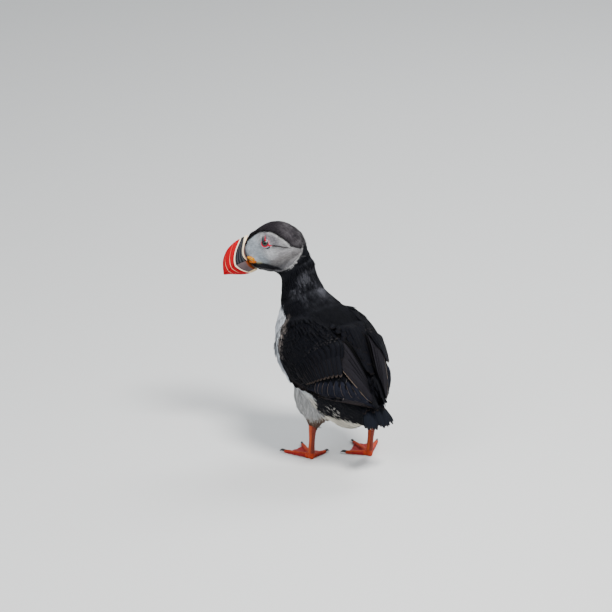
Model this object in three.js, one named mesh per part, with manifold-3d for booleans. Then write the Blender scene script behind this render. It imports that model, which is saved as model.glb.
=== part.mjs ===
// Life-size Atlantic puffin, standing with one foot ahead and its head turned to its left.
// Millimetres, +Z up. The bird faces -Y, its left side is +X, and the ground is Z = 0.
import * as THREE from "three";
import { mergeVertices } from "three/addons/utils/BufferGeometryUtils.js";
import Module from "manifold-3d";

const wasm = await Module();
wasm.setup();
const V = (x, y, z) => new THREE.Vector3(x, y, z);
const deg = THREE.MathUtils.degToRad;

// ---- Driving dimensions ----
const gap = 0.3; // clearance between pieces that touch
const headTurn = deg(46); // the head looks this far to the bird's left
const headDip = deg(22.7); // and this far down, from nape to bill tip
const headPlace = V(10, -73.3, 196.2); // centre of the head
const eyeRadius = 5;
const eyePlace = { ahead: 11.6, up: 13, out: 11.4 }; // in the head's own frame
const webThick = 1.1;
const clawRadius = 1.25;
// Each leg: heel on the ground, ankle, axis of the feathered thigh, and toes as
// [heading in degrees (positive to the bird's left), length, claw length].
const legs = {
  left: {
    heel: V(24, -14.8, 0),
    ankle: V(26, -10, 33),
    thigh: [V(23, -10, 45), V(20, -14, 57), V(16, -18, 72)],
    radii: [4.4, 13.5, 20, 23],
    toes: { outer: [19, 29, 5], middle: [-26, 33, 6], inner: [-84, 19, 5] },
  },
  right: {
    heel: V(-24, 14.8, 0),
    ankle: V(-23, 20, 33),
    thigh: [V(-21, 14, 44), V(-18, 6, 57), V(-15, 0, 72)],
    radii: [4.4, 10.5, 18, 23],
    toes: { outer: [-47, 31, 5], middle: [-15, 34, 6], inner: [39, 22, 5] },
  },
};
const tarsusRadii = [3.3, 3.0, 4.0];
const footHeight = 5; // top of the heel, where the leg stands on the foot

// Centre line of trunk and neck from the rump up: half width, height to the back, depth to the belly.
const trunkStations = [
  { at: V(0, 50, 54), half: 12, back: 8, belly: 17 },
  { at: V(0, 42, 61), half: 19.5, back: 17, belly: 34.5 },
  { at: V(0, 27, 72), half: 31, back: 27.5, belly: 46.5 },
  { at: V(0, 8, 86), half: 40.5, back: 36.5, belly: 52.5 },
  { at: V(0, -13, 104), half: 45.5, back: 42, belly: 52.5 },
  { at: V(0, -30, 122), half: 42, back: 34.5, belly: 52.5 },
  { at: V(0, -43, 139), half: 32, back: 21.5, belly: 48.5 },
  { at: V(0, -53, 154), half: 21.5, back: 17, belly: 31 },
  { at: V(1, -59, 168), half: 17.5, back: 17.8, belly: 21.5 },
  { at: V(2, -64, 183), half: 16.2, back: 19, belly: 20.5 },
  { at: V(4, -68, 195), half: 13, back: 14, belly: 15 },
];
const neckStart = 7; // station where the neck leaves the trunk

// Head profile from nape to forehead: distance ahead, crown, widest line, throat, half width.
const headStations = [
  { ahead: -20.2, crown: 10, widest: -5, throat: -14, half: 10.5 },
  { ahead: -16, crown: 17.2, widest: -4, throat: -18.4, half: 14.4 },
  { ahead: -8, crown: 24.3, widest: -2, throat: -21.4, half: 18.2 },
  { ahead: 2, crown: 27.7, widest: 0, throat: -22.8, half: 19.2 },
  { ahead: 12, crown: 27, widest: 2, throat: -22.3, half: 17.6 },
  { ahead: 20, crown: 24.9, widest: 4, throat: -20, half: 14.2 },
  { ahead: 27, crown: 23.2, widest: 5, throat: -15.2, half: 10.4 },
  { ahead: 33, crown: 15, widest: 3, throat: -11.5, half: 8 },
];

// Bill outlines in the head's frame, from face to tip: ridge of the upper half, gape line, keel.
const culmen = [[27, 23.6], [34, 22.8], [43.5, 20.4], [52.5, 15.5], [59.7, 7], [64, -4.6]];
const gape = [[35.5, 2.3], [48, 1.2], [53.5, -0.3], [57.5, -2], [61, -3.6], [64, -5.2]];
const keel = [[31.5, -12], [38, -12.8], [45, -12], [51.5, -9.8], [57.5, -7.2], [62.8, -5.6]];
const billHalf = [7.6, 6.9, 5.6, 4.2, 2.7, 1.0];
const billBow = [4.5, 3.5, 3, 2, 1, 0]; // how far each band of the bill bows forward

// Folded left wing: guide lines from wrist to tip along its lower edge, middle and upper edge,
// how far the wing stands off the trunk along each, and how thick it is towards the tip.
const wingLower = [V(37, -49, 108), V(40, -35, 87), V(41, -10, 78.5), V(33, 17, 75),
  V(16, 44, 71.5), V(5, 62, 66)];
const wingMiddle = [V(34, -46, 122), V(42, -24, 115), V(42, -2, 105), V(33, 20, 95),
  V(15, 44, 82), V(4, 64, 68.5)];
const wingUpper = [V(22, -42, 136), V(17, -20, 141), V(13, 3, 131), V(8, 24, 113),
  V(4, 44, 91), V(2.5, 63, 71)];
const wingStandOff = [4, 5.5, 2.2];
const wingTipThick = 2;
const wingDepth = 9;

// Tail fan: middle, half width, height above and below it.
const tailStations = [
  { at: V(0, 32, 78), half: 13, above: 4, below: 5 },
  { at: V(0, 45, 68), half: 15, above: 3.5, below: 4 },
  { at: V(0, 54, 57), half: 17, above: 2.5, below: 2.5 },
  { at: V(0, 58.5, 49.5), half: 17.5, above: 1.5, below: 1.5 },
];

// ---- Small tools ----
const smooth = (points) => new THREE.CatmullRomCurve3(points, false, "catmullrom", 0.5);
const curveOf = (rows, pick) => smooth(rows.map(pick));
const span = (count, from = 0, to = 1) =>
  Array.from({ length: count }, (_, i) => from + ((to - from) * i) / (count - 1));

// A closed skin over rings of equally many points; each end closes on its ring's middle.
function loft(rings) {
  const sides = rings[0].length;
  const points = rings.flat();
  const index = [];
  for (let r = 0; r + 1 < rings.length; r++) {
    for (let i = 0; i < sides; i++) {
      const a = r * sides + i;
      const b = r * sides + ((i + 1) % sides);
      index.push(a, b, b + sides, a, b + sides, a + sides);
    }
  }
  for (const [r, turn] of [[0, 1], [rings.length - 1, 0]]) {
    const middle = rings[r].reduce((sum, p) => sum.add(p), V(0, 0, 0)).divideScalar(sides);
    points.push(middle);
    for (let i = 0; i < sides; i++) {
      const a = r * sides + i;
      const b = r * sides + ((i + 1) % sides);
      index.push(points.length - 1, ...(turn ? [b, a] : [a, b]));
    }
  }
  const geometry = new THREE.BufferGeometry().setFromPoints(points);
  geometry.setIndex(index);
  return solid(geometry);
}

// A geometry as a manifold solid, turned right side out.
function solid(geometry) {
  const bare = new THREE.BufferGeometry();
  bare.setAttribute("position", geometry.getAttribute("position"));
  bare.setIndex(geometry.getIndex());
  const merged = mergeVertices(bare, 1e-4);
  const triVerts = new Uint32Array(merged.index.array);
  const vertProperties = new Float32Array(merged.attributes.position.array);
  const made = new wasm.Manifold(new wasm.Mesh({ numProp: 3, vertProperties, triVerts }));
  if (made.volume() > 0) return made;
  for (let i = 0; i < triVerts.length; i += 3) {
    [triVerts[i + 1], triVerts[i + 2]] = [triVerts[i + 2], triVerts[i + 1]];
  }
  return new wasm.Manifold(new wasm.Mesh({ numProp: 3, vertProperties, triVerts }));
}

// Rings that round off the end of a loft, from its tip to just short of the end ring.
function dome(ring, outward, depth, steps) {
  const middle = ring.reduce((sum, p) => sum.add(p), V(0, 0, 0)).divideScalar(ring.length);
  return span(steps, 12, 72).map((angle) => {
    const reach = Math.cos(deg(angle)) * depth;
    const shrink = Math.sin(deg(angle));
    return ring.map((p) =>
      middle.clone().lerp(p, shrink).addScaledVector(outward, reach));
  });
}

// An egg-shaped ring: half width to the sides, one height above the middle and one below.
function ovalRing(middle, side, upward, half, above, below, sides, fullness = 2.2) {
  return span(sides + 1, 0, 2 * Math.PI).slice(0, -1).map((angle) => {
    const c = Math.cos(angle);
    const s = Math.sin(angle);
    const across = Math.sign(c) * Math.abs(c) ** (2 / fullness) * half;
    const along = Math.sign(s) * Math.abs(s) ** (2 / fullness) * (s > 0 ? above : below);
    return middle.clone().addScaledVector(side, across).addScaledVector(upward, along);
  });
}

// A round rod through points, with a radius at each.
function rod(points, radii, sides, steps) {
  const path = smooth(points);
  const size = smooth(radii.map((r) => V(r, 0, 0)));
  return loft(span(steps).map((t) => {
    const tangent = path.getTangent(t);
    const side = V(1, 0, 0).addScaledVector(tangent, -tangent.x).normalize();
    const up = tangent.clone().cross(side);
    const r = size.getPoint(t).x;
    return ovalRing(path.getPoint(t), side, up, r, r, r, sides, 2);
  }));
}

// A half space in front of a point, as a large block to cut with.
function blockBeyond(point, direction) {
  const box = new THREE.BoxGeometry(400, 400, 400).translate(0, 0, 200);
  const turn = new THREE.Quaternion().setFromUnitVectors(V(0, 0, 1), direction);
  box.applyQuaternion(turn).translate(point.x, point.y, point.z);
  return solid(box);
}

// ---- Trunk and neck ----
const trunkSides = 24;
const trunkFullness = 2.2;
const centreLine = curveOf(trunkStations, (s) => s.at);
const trunkSizes = curveOf(trunkStations, (s) => V(s.half, s.back, s.belly));
const stationAt = (station) => station / (trunkStations.length - 1);

function trunkRing(t, extra) {
  const tangent = centreLine.getTangent(t);
  const side = V(1, 0, 0).addScaledVector(tangent, -tangent.x).normalize();
  const dorsal = tangent.clone().cross(side);
  const size = trunkSizes.getPoint(t);
  return ovalRing(centreLine.getPoint(t), side, dorsal, size.x + extra, size.y + extra,
    size.z + extra, trunkSides, trunkFullness);
}

function bodyTube(extra = 0) {
  const rings = span(25).map((t) => trunkRing(t, extra));
  const rear = centreLine.getTangent(0).negate();
  return loft([...dome(rings[0], rear, 7 + extra, 3), ...rings]);
}

// ---- Head ----
const flatAhead = V(Math.sin(headTurn), -Math.cos(headTurn), 0);
const ahead = flatAhead.clone().multiplyScalar(Math.cos(headDip)).add(V(0, 0, -Math.sin(headDip)));
const outLeft = V(Math.cos(headTurn), Math.sin(headTurn), 0);
const headUp = outLeft.clone().cross(ahead).negate();
const inHead = (f, k, out) => headPlace.clone().addScaledVector(ahead, f)
  .addScaledVector(headUp, k).addScaledVector(outLeft, out);

function headBall(extra = 0) {
  const shape = curveOf(headStations, (s) => V(s.crown, s.widest, s.throat));
  const width = curveOf(headStations, (s) => V(s.ahead, s.half, 0));
  const rings = span(15).map((t) => {
    const rows = shape.getPoint(t);
    const size = width.getPoint(t);
    return ovalRing(inHead(size.x, rows.y, 0), outLeft, headUp, size.y + extra,
      rows.x - rows.y + extra, rows.y - rows.z + extra, 22, 2.1);
  });
  return loft([...dome(rings[0], ahead.clone().negate(), 2.4 + extra, 2), ...rings]);
}

// ---- Bill ----
const flatCurve = (rows) => smooth(rows.map(([f, k]) => V(f, k, 0)));
const billWidth = smooth(billHalf.map((h, i) => V(h, billBow[i], 0)));
const culmenCurve = flatCurve(culmen);
const gapeCurve = flatCurve(gape);
const keelCurve = flatCurve(keel);

// One band of the bill at s (0 at the face, 1 at the tip), from an outer edge to the gape.
function billBand(s, outer, inward, extra) {
  const edge = outer.getPoint(s);
  const mouth = gapeCurve.getPoint(s);
  mouth.y += inward;
  const width = billWidth.getPoint(s);
  const rows = span(7).map((v) => {
    const bow = width.y * 4 * v * (1 - v) * (inward > 0 ? 1 : 0.4);
    const half = (width.x + extra) * (0.16 + 0.84 * Math.sin(v * Math.PI / 2) ** 0.75);
    return { f: edge.x + (mouth.x - edge.x) * v + bow, k: edge.y + (mouth.y - edge.y) * v, half };
  });
  rows[0].k += Math.sign(inward) * extra;
  return [...rows.map((p) => inHead(p.f, p.k, p.half)),
    ...rows.reverse().map((p) => inHead(p.f, p.k, -p.half))];
}

const upperBill = loft(span(12, 0.075, 1).map((s) => billBand(s, culmenCurve, gap / 2, 0)));
const lowerBill = loft(span(11, 0, 0.985).map((s) => billBand(s, keelCurve, -gap / 2, 0)));
const ridgeSwell = [0.3, 0.9, 0.9, 0.4];
const ridgeBlank = loft(span(4, -0.02, 0.07).map((s, i) =>
  billBand(Math.max(s, 0), culmenCurve, gap / 2, ridgeSwell[i])
    .map((p) => p.addScaledVector(ahead, s < 0 ? -1.4 : 0))));
const justBehind = ahead.clone().multiplyScalar(-gap);
const billRidge = ridgeBlank.subtract(upperBill).subtract(upperBill.translate(justBehind.toArray()));

// ---- Wings ----
const centreSamples = span(121).map((t) => ({ t, at: centreLine.getPoint(t) }));

// A point moved to stand off the trunk's surface; a loose one stays if it is farther out already.
function offTrunk(point, clear, loose) {
  const nearest = centreSamples.reduce((best, sample) =>
    (sample.at.distanceToSquared(point) < best.at.distanceToSquared(point) ? sample : best));
  const tangent = centreLine.getTangent(nearest.t);
  const side = V(1, 0, 0).addScaledVector(tangent, -tangent.x).normalize();
  const dorsal = tangent.clone().cross(side);
  const size = trunkSizes.getPoint(nearest.t);
  const reach = point.clone().sub(nearest.at);
  const across = Math.abs(reach.dot(side)) / size.x;
  const along = reach.dot(dorsal) / (reach.dot(dorsal) > 0 ? size.y : size.z);
  const depth = (across ** trunkFullness + Math.abs(along) ** trunkFullness) ** (1 / trunkFullness);
  const wanted = 1 / depth + clear / reach.length();
  const scale = THREE.MathUtils.lerp(wanted, Math.max(wanted, 1), loose);
  return nearest.at.clone().addScaledVector(reach, scale);
}

function wingShell() {
  const lines = [wingLower, wingMiddle, wingUpper].map(smooth);
  const standOff = smooth(wingStandOff.map((d) => V(d, 0, 0)));
  const outside = (u, v) => {
    const across = smooth(lines.map((line) => line.getPoint(u)));
    const loose = THREE.MathUtils.smoothstep(u, 0.55, 0.8);
    return offTrunk(across.getPoint(v), standOff.getPoint(v).x, loose);
  };
  const inward = (u, v) => {
    const step = 0.02;
    const alongU = outside(Math.min(u + step, 1), v).sub(outside(Math.max(u - step, 0), v));
    const alongV = outside(u, Math.min(v + step, 1)).sub(outside(u, Math.max(v - step, 0)));
    return alongV.cross(alongU).normalize();
  };
  const rows = span(8);
  return loft(span(18).map((u) => {
    const deep = THREE.MathUtils.lerp(wingDepth, wingTipThick,
      THREE.MathUtils.smoothstep(u, 0.55, 0.9));
    const under = rows.slice(1, -1).reverse().map((v) =>
      outside(u, v).addScaledVector(inward(u, v), deep * Math.sin(Math.PI * v) ** 0.4));
    return [...rows.map((v) => outside(u, v)), ...under];
  }));
}

// ---- Tail ----
function tailFan(extra = 0) {
  const line = curveOf(tailStations, (s) => s.at);
  const sizes = curveOf(tailStations, (s) => V(s.half, s.above, s.below));
  const rings = span(9).map((t) => {
    const tangent = line.getTangent(t);
    const size = sizes.getPoint(t);
    return ovalRing(line.getPoint(t), V(1, 0, 0), V(1, 0, 0).cross(tangent).negate(),
      size.x + extra, size.y + extra, size.z + extra, 16, 2.4);
  });
  const end = line.getTangent(1);
  return loft([...rings, ...dome(rings[8], end, 7 + extra, 4).reverse()]);
}

// ---- Legs and feet ----
const heading = (angle) => V(Math.sin(deg(angle)), -Math.cos(deg(angle)), 0);
const lifted = (point, height) => point.clone().add(V(0, 0, height));

function thighCone(leg) {
  const up = leg.thigh[0].clone().sub(leg.ankle).normalize();
  return rod([leg.ankle, ...leg.thigh], leg.radii, 14, 9)
    .intersect(blockBeyond(leg.ankle.clone().addScaledVector(up, gap), up));
}

function tarsusRod(leg) {
  const up = leg.thigh[0].clone().sub(leg.ankle).normalize();
  const top = leg.ankle.clone().addScaledVector(up, 2);
  return rod([leg.heel, leg.heel.clone().lerp(top, 0.5), top], tarsusRadii, 12, 7)
    .intersect(blockBeyond(lifted(leg.heel, footHeight + gap), V(0, 0, 1)))
    .subtract(blockBeyond(leg.ankle, up));
}

// A webbed foot: three toes on one flat sole, with webs between them.
function webbedFoot({ heel, toes }) {
  const tips = Object.values(toes).map(([turn, length]) =>
    heel.clone().addScaledVector(heading(turn), length));
  const back = heel.clone().addScaledVector(heading(toes.middle[0]), -3);
  const outline = new THREE.Shape().moveTo(back.x, back.y).lineTo(tips[0].x, tips[0].y);
  for (const [from, to] of [[tips[0], tips[1]], [tips[1], tips[2]]]) {
    const hollow = from.clone().lerp(to, 0.5).lerp(heel, 0.14);
    outline.quadraticCurveTo(hollow.x, hollow.y, to.x, to.y);
  }
  outline.closePath();
  const web = new THREE.ExtrudeGeometry(outline,
    { depth: webThick, bevelEnabled: false, curveSegments: 5 });
  const toeRods = tips.map((tip) => rod([lifted(heel, 2.6),
    lifted(heel.clone().lerp(tip, 0.5), 1.7), lifted(tip, 1.3)], [3, 2.1, 1.7], 7, 5));
  const heelPad = rod([lifted(back, 2), lifted(heel, 3.2)], [2.6, 3.8], 8, 3);
  return [...toeRods, heelPad].reduce((foot, piece) => foot.add(piece), solid(web))
    .subtract(blockBeyond(V(0, 0, 0), V(0, 0, -1)))
    .subtract(blockBeyond(V(0, 0, footHeight), V(0, 0, 1)));
}

function clawHook(heel, [turn, length, clawLength]) {
  const along = heading(turn);
  const root = lifted(heel, clawRadius + 0.35).addScaledVector(along, length + 1.4);
  const bend = lifted(root, 0.5).addScaledVector(along, clawLength * 0.55);
  const tip = root.clone().addScaledVector(along, clawLength).setZ(0.8);
  return rod([root, bend, tip], [clawRadius, clawRadius * 0.7, 0.3], 6, 4);
}

// ---- Eyes and the horny plates round them ----
const side = { left: 1, right: -1 };
const ballAt = (centre, radius) => {
  const ball = new THREE.IcosahedronGeometry(radius, 2).translate(centre.x, centre.y, centre.z);
  return solid(ball);
};
const eyeCentre = (sign) => inHead(eyePlace.ahead, eyePlace.up, eyePlace.out * sign);

function browPlate(sign, extra = 0) {
  const { ahead: f, up: k } = eyePlace;
  return rod([inHead(f - 0.6, k + 4.2, 14.4 * sign), inHead(f - 1.4, k + 6.6, 13.4 * sign),
    inHead(f - 2, k + 9, 11.8 * sign)], [1.7 + extra, 1.1 + extra, 0.5 + extra], 7, 4);
}

function cheekPlate(sign, extra = 0) {
  const { ahead: f, up: k } = eyePlace;
  return rod([inHead(f - 5.6, k - 3.9, 15.8 * sign), inHead(f - 1.6, k - 5, 15.9 * sign),
    inHead(f + 2.6, k - 4.6, 15.3 * sign)], [0.6 + extra, 1.1 + extra, 0.7 + extra], 7, 4);
}

function rosette(sign, extra = 0) {
  const pad = new THREE.IcosahedronGeometry(1, 2).scale(5.2 + extra, 2.7 + extra, 2 + extra);
  const along = ahead.clone().multiplyScalar(6.2).addScaledVector(headUp, 8).normalize();
  const across = outLeft.clone().cross(along);
  pad.applyMatrix4(new THREE.Matrix4().makeBasis(along, across, outLeft));
  const centre = inHead(30.6, 1.4, 8.6 * sign);
  return solid(pad.translate(centre.x, centre.y, centre.z));
}

// ---- Put together ----
const bird = new THREE.Group();
const finish = (color, roughness) => new THREE.MeshStandardMaterial({ color, roughness });
const paint = {
  black: finish(0x17171b, 0.75),
  face: finish(0xb9bcc0, 0.75),
  red: finish(0xd9301a, 0.4),
  cream: finish(0xe8d3a0, 0.5),
  eye: finish(0x0c0c0c, 0.15),
  orange: finish(0xd9551a, 0.5),
  rosette: finish(0xe09a1e, 0.55),
  plate: finish(0x5d6a78, 0.5),
  claw: finish(0x141210, 0.35),
};

function addPiece(name, made, material) {
  const mesh = made.getMesh();
  const geometry = new THREE.BufferGeometry();
  geometry.setAttribute("position", new THREE.BufferAttribute(mesh.vertProperties, 3));
  geometry.setIndex(new THREE.BufferAttribute(mesh.triVerts, 1));
  geometry.computeVertexNormals();
  const piece = new THREE.Mesh(geometry, material);
  piece.name = name;
  bird.add(piece);
}

const body = bodyTube();
const bodyClear = bodyTube(gap);
const neckCut = centreLine.getPoint(stationAt(neckStart));
const neckAim = centreLine.getTangent(stationAt(neckStart));
const aboveCut = blockBeyond(neckCut.clone().addScaledVector(neckAim, gap), neckAim);
const belowCut = blockBeyond(neckCut, neckAim.clone().negate());

// Room for the bill's root in the face: the bill a little wider, starting a little farther back.
const rootOf = (outer, inward, back) => loft(span(7, 0, 0.5).map((s) =>
  billBand(s, outer, inward, 1.4).map((p) => p.addScaledVector(ahead, s === 0 ? -back : 0))));
const billRoom = rootOf(culmenCurve, 0, 1.4 + gap).add(rootOf(keelCurve, -0.01, 1.2));
let head = headBall().subtract(billRoom);
for (const sign of Object.values(side)) {
  for (const set of [ballAt(eyeCentre(sign), eyeRadius + gap), browPlate(sign, gap),
    cheekPlate(sign, gap), rosette(sign, gap)]) {
    head = head.subtract(set);
  }
}
const tail = tailFan();
const leftHalf = blockBeyond(V(gap / 2, 0, 0), V(1, 0, 0));
const leftWing = wingShell().intersect(leftHalf).subtract(bodyClear).subtract(tailFan(gap));
const wings = { left: leftWing, right: leftWing.mirror([1, 0, 0]) };

addPiece("trunk", body.intersect(belowCut), paint.black);
addPiece("neck", body.intersect(aboveCut).subtract(headBall(gap)), paint.black);
addPiece("head", head, paint.face);
addPiece("tail", tail.subtract(bodyClear), paint.black);
addPiece("bill_upper", upperBill, paint.red);
addPiece("bill_lower", lowerBill, paint.red);
addPiece("bill_ridge", billRidge, paint.cream);
for (const [name, sign] of Object.entries(side)) {
  const leg = legs[name];
  const foot = webbedFoot(leg);
  addPiece(`eye_${name}`, ballAt(eyeCentre(sign), eyeRadius), paint.eye);
  const eyeClear = ballAt(eyeCentre(sign), eyeRadius + gap);
  addPiece(`brow_plate_${name}`, browPlate(sign).subtract(eyeClear), paint.plate);
  addPiece(`cheek_plate_${name}`, cheekPlate(sign).subtract(eyeClear), paint.plate);
  addPiece(`rosette_${name}`, rosette(sign).subtract(billRoom), paint.rosette);
  addPiece(`wing_${name}`, wings[name], paint.black);
  addPiece(`thigh_${name}`, thighCone(leg).subtract(bodyClear), paint.face);
  addPiece(`tarsus_${name}`, tarsusRod(leg), paint.orange);
  addPiece(`foot_${name}`, foot, paint.orange);
  for (const [toe, sizes] of Object.entries(leg.toes)) {
    addPiece(`claw_${toe}_${name}`, clawHook(leg.heel, sizes), paint.claw);
  }
}

// The origin is on the ground, under the middle of the whole bird.
const reach = new THREE.Box3().setFromObject(bird);
bird.position.copy(reach.getCenter(V(0, 0, 0)).setZ(reach.min.z)).negate();

export default bird;
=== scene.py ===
import random
from math import cos, exp, pi, radians, sin

import bmesh
import bpy
import numpy as np
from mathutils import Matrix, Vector, noise
from mathutils.bvhtree import BVHTree


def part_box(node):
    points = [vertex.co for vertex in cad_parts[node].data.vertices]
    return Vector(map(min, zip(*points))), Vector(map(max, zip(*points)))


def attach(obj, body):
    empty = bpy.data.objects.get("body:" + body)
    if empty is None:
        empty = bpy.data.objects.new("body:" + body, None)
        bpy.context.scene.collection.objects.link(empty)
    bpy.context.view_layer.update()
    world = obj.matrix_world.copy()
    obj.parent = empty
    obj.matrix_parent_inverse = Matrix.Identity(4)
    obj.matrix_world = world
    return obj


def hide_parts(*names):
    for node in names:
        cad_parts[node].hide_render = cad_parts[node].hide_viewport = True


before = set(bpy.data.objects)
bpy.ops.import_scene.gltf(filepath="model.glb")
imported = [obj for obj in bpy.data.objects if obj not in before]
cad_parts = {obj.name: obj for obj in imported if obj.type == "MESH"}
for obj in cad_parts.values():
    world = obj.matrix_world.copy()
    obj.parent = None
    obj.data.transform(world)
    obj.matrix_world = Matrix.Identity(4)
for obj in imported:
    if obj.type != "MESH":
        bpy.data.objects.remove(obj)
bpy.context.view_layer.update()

mm = 0.001
sides = {"left": 1, "right": -1}

# The head is turned to the bird's left and dips a little. Sizes below are millimetres on the
# bird: x to its left, y to its rear, z up, from the ground between its heels.
head = {
    "turn": 46,  # degrees
    "dip": 22.7,
    "place": (10, -73.3, 196.2),
    "eye": (11.6, 13, 11.4),  # ahead, up and out from the head's centre
    "eyeRadius": 5,
}
turn, dip = radians(head["turn"]), radians(head["dip"])
ahead = Vector((sin(turn) * cos(dip), -cos(turn) * cos(dip), -sin(dip)))
outLeft = Vector((cos(turn), sin(turn), 0))
headUp = ahead.cross(outLeft)
eyeF, eyeK, eyeOut = head["eye"]


def inHead(f, k, out):
    return Vector(head["place"]) + ahead * f + headUp * k + outLeft * out


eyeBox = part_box("eye_left")
origin = (eyeBox[0] + eyeBox[1]) / 2 - inHead(*head["eye"]) * mm  # the bird's own zero in the frame


def onBird(p):
    return origin + Vector(p) * mm


def headAt(f, k, out):
    return onBird(inHead(f, k, out))


def ease(x, low, high):
    # 0 at low, 1 at high and smooth between; low may be the larger of the two
    t = np.clip((x - low) / (high - low), 0, 1)
    return t * t * (3 - 2 * t)


def mixed(first, second, share):
    # two sets of rows, mixed by a share for each row
    return first * (1 - share[:, None]) + second * share[:, None]


def unit(v):
    return v / np.linalg.norm(v, axis=-1, keepdims=True)


def between(first, last, share):
    return np.array(first) + (np.array(last) - first) * share


def curveAt(points, t):
    # a smooth curve through the points, t from 0 to 1
    points = [np.array(p, float) for p in points]
    last = len(points) - 1
    i = min(int(max(t, 0) * last), last - 1)
    w = t * last - i
    p1, p2 = points[i], points[i + 1]
    p0 = points[i - 1] if i else 2 * p1 - p2
    p3 = points[i + 2] if i + 2 <= last else 2 * p2 - p1
    a, b = (p2 - p0) / 2, (p3 - p1) / 2
    return (2 * p1 - 2 * p2 + a + b) * w**3 + (3 * p2 - 3 * p1 - 2 * a - b) * w * w + a * w + p1


def gridAt(grid, u, v):
    # what a grid holds at the shares u and v of its two directions
    x, y = (min(max(share, 0), 1) * (size - 1) for share, size in zip((u, v), grid.shape))
    i, j = min(int(x), grid.shape[0] - 2), min(int(y), grid.shape[1] - 2)
    a, b = x - i, y - j
    return ((grid[i, j] * (1 - b) + grid[i, j + 1] * b) * (1 - a)
            + (grid[i + 1, j] * (1 - b) + grid[i + 1, j + 1] * b) * a)


def srgb(red, green, blue):
    # a paint colour given as 0 to 255 becomes the linear one that Blender works in
    return tuple(c / 255 / 12.92 if c < 10.3 else ((c / 255 + 0.055) / 1.055) ** 2.4
                 for c in (red, green, blue)) + (1.0,)


view = {
    "azimuth": 140,  # degrees round the bird, from behind its left shoulder
    "elevation": 20,
    "away": 8.0,  # metres, a long lens that flattens the view
    "width": 0.5885,  # metres of the scene across the frame
    "aim": (-32.7, 144.7),  # mm right of and above the bird's zero, in the view
    "sensor": 36,
    "reach": 50,  # metres to the far clipping plane
}
lights = {
    # degrees round and above the bird, metres away and across, watts and colour
    "key_light": (175, 60, 1.5, 0.5, 42, (1, 0.98, 0.95)),
    "fill_light": (95, 40, 1.7, 1.0, 15, (0.95, 0.98, 1)),
    "back_light": (290, 45, 1.7, 0.8, 20, (0.97, 0.99, 1)),
}
lightAim = (0, 0, 120)


def viewAxes(azimuth, elevation):
    a, e = radians(azimuth), radians(elevation)
    back = Vector((sin(a) * cos(e), -cos(a) * cos(e), sin(e)))
    right = Vector((cos(a), sin(a), 0))
    return right, back.cross(right), back


def link(name, data):
    made = bpy.data.objects.new(name, data)
    bpy.context.scene.collection.objects.link(made)
    return made


def pointed(name, data, aim, back, away):
    # a camera or lamp that looks at aim from the direction back
    made = link(name, data)
    made.location = aim + back * away
    made.rotation_euler = back.to_track_quat("Z", "Y").to_euler()
    return made


right, up, back = viewAxes(view["azimuth"], view["elevation"])
lens = bpy.data.cameras.new("camera")
lens.sensor_width, lens.clip_end = view["sensor"], view["reach"]
lens.lens = view["sensor"] * view["away"] / view["width"]
aim = origin + (right * view["aim"][0] + up * view["aim"][1]) * mm
bpy.context.scene.camera = pointed("camera", lens, aim, back, view["away"])
for name, (azimuth, elevation, away, size, power, colour) in lights.items():
    lamp = bpy.data.lights.new(name, "AREA")
    lamp.shape, lamp.size, lamp.energy, lamp.color = "DISK", size, power, colour
    pointed(name, lamp, onBird(lightAim), viewAxes(azimuth, elevation)[2], away)
print("camera and lights placed")


# A Number is a node's socket, with maths on it written as plain Python.
class Number:
    def __init__(self, nodes, socket):
        self.nodes, self.socket = nodes, socket

    def maths(self, operation, *values):
        return self.nodes.number("ShaderNodeMath", {"operation": operation}, dict(enumerate(values)))

    def __add__(self, other):
        return self.maths("ADD", self, other)

    __radd__ = __add__

    def __sub__(self, other):
        return self.maths("SUBTRACT", self, other)

    def __rsub__(self, other):
        return self.maths("SUBTRACT", other, self)

    def __mul__(self, other):
        return self.maths("MULTIPLY", self, other)

    __rmul__ = __mul__

    def __truediv__(self, other):
        return self.maths("DIVIDE", self, other)

    def __rtruediv__(self, other):
        return self.maths("DIVIDE", other, self)

    def sine(self):
        return self.maths("SINE", self)

    def size(self):
        return self.maths("ABSOLUTE", self)


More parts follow.
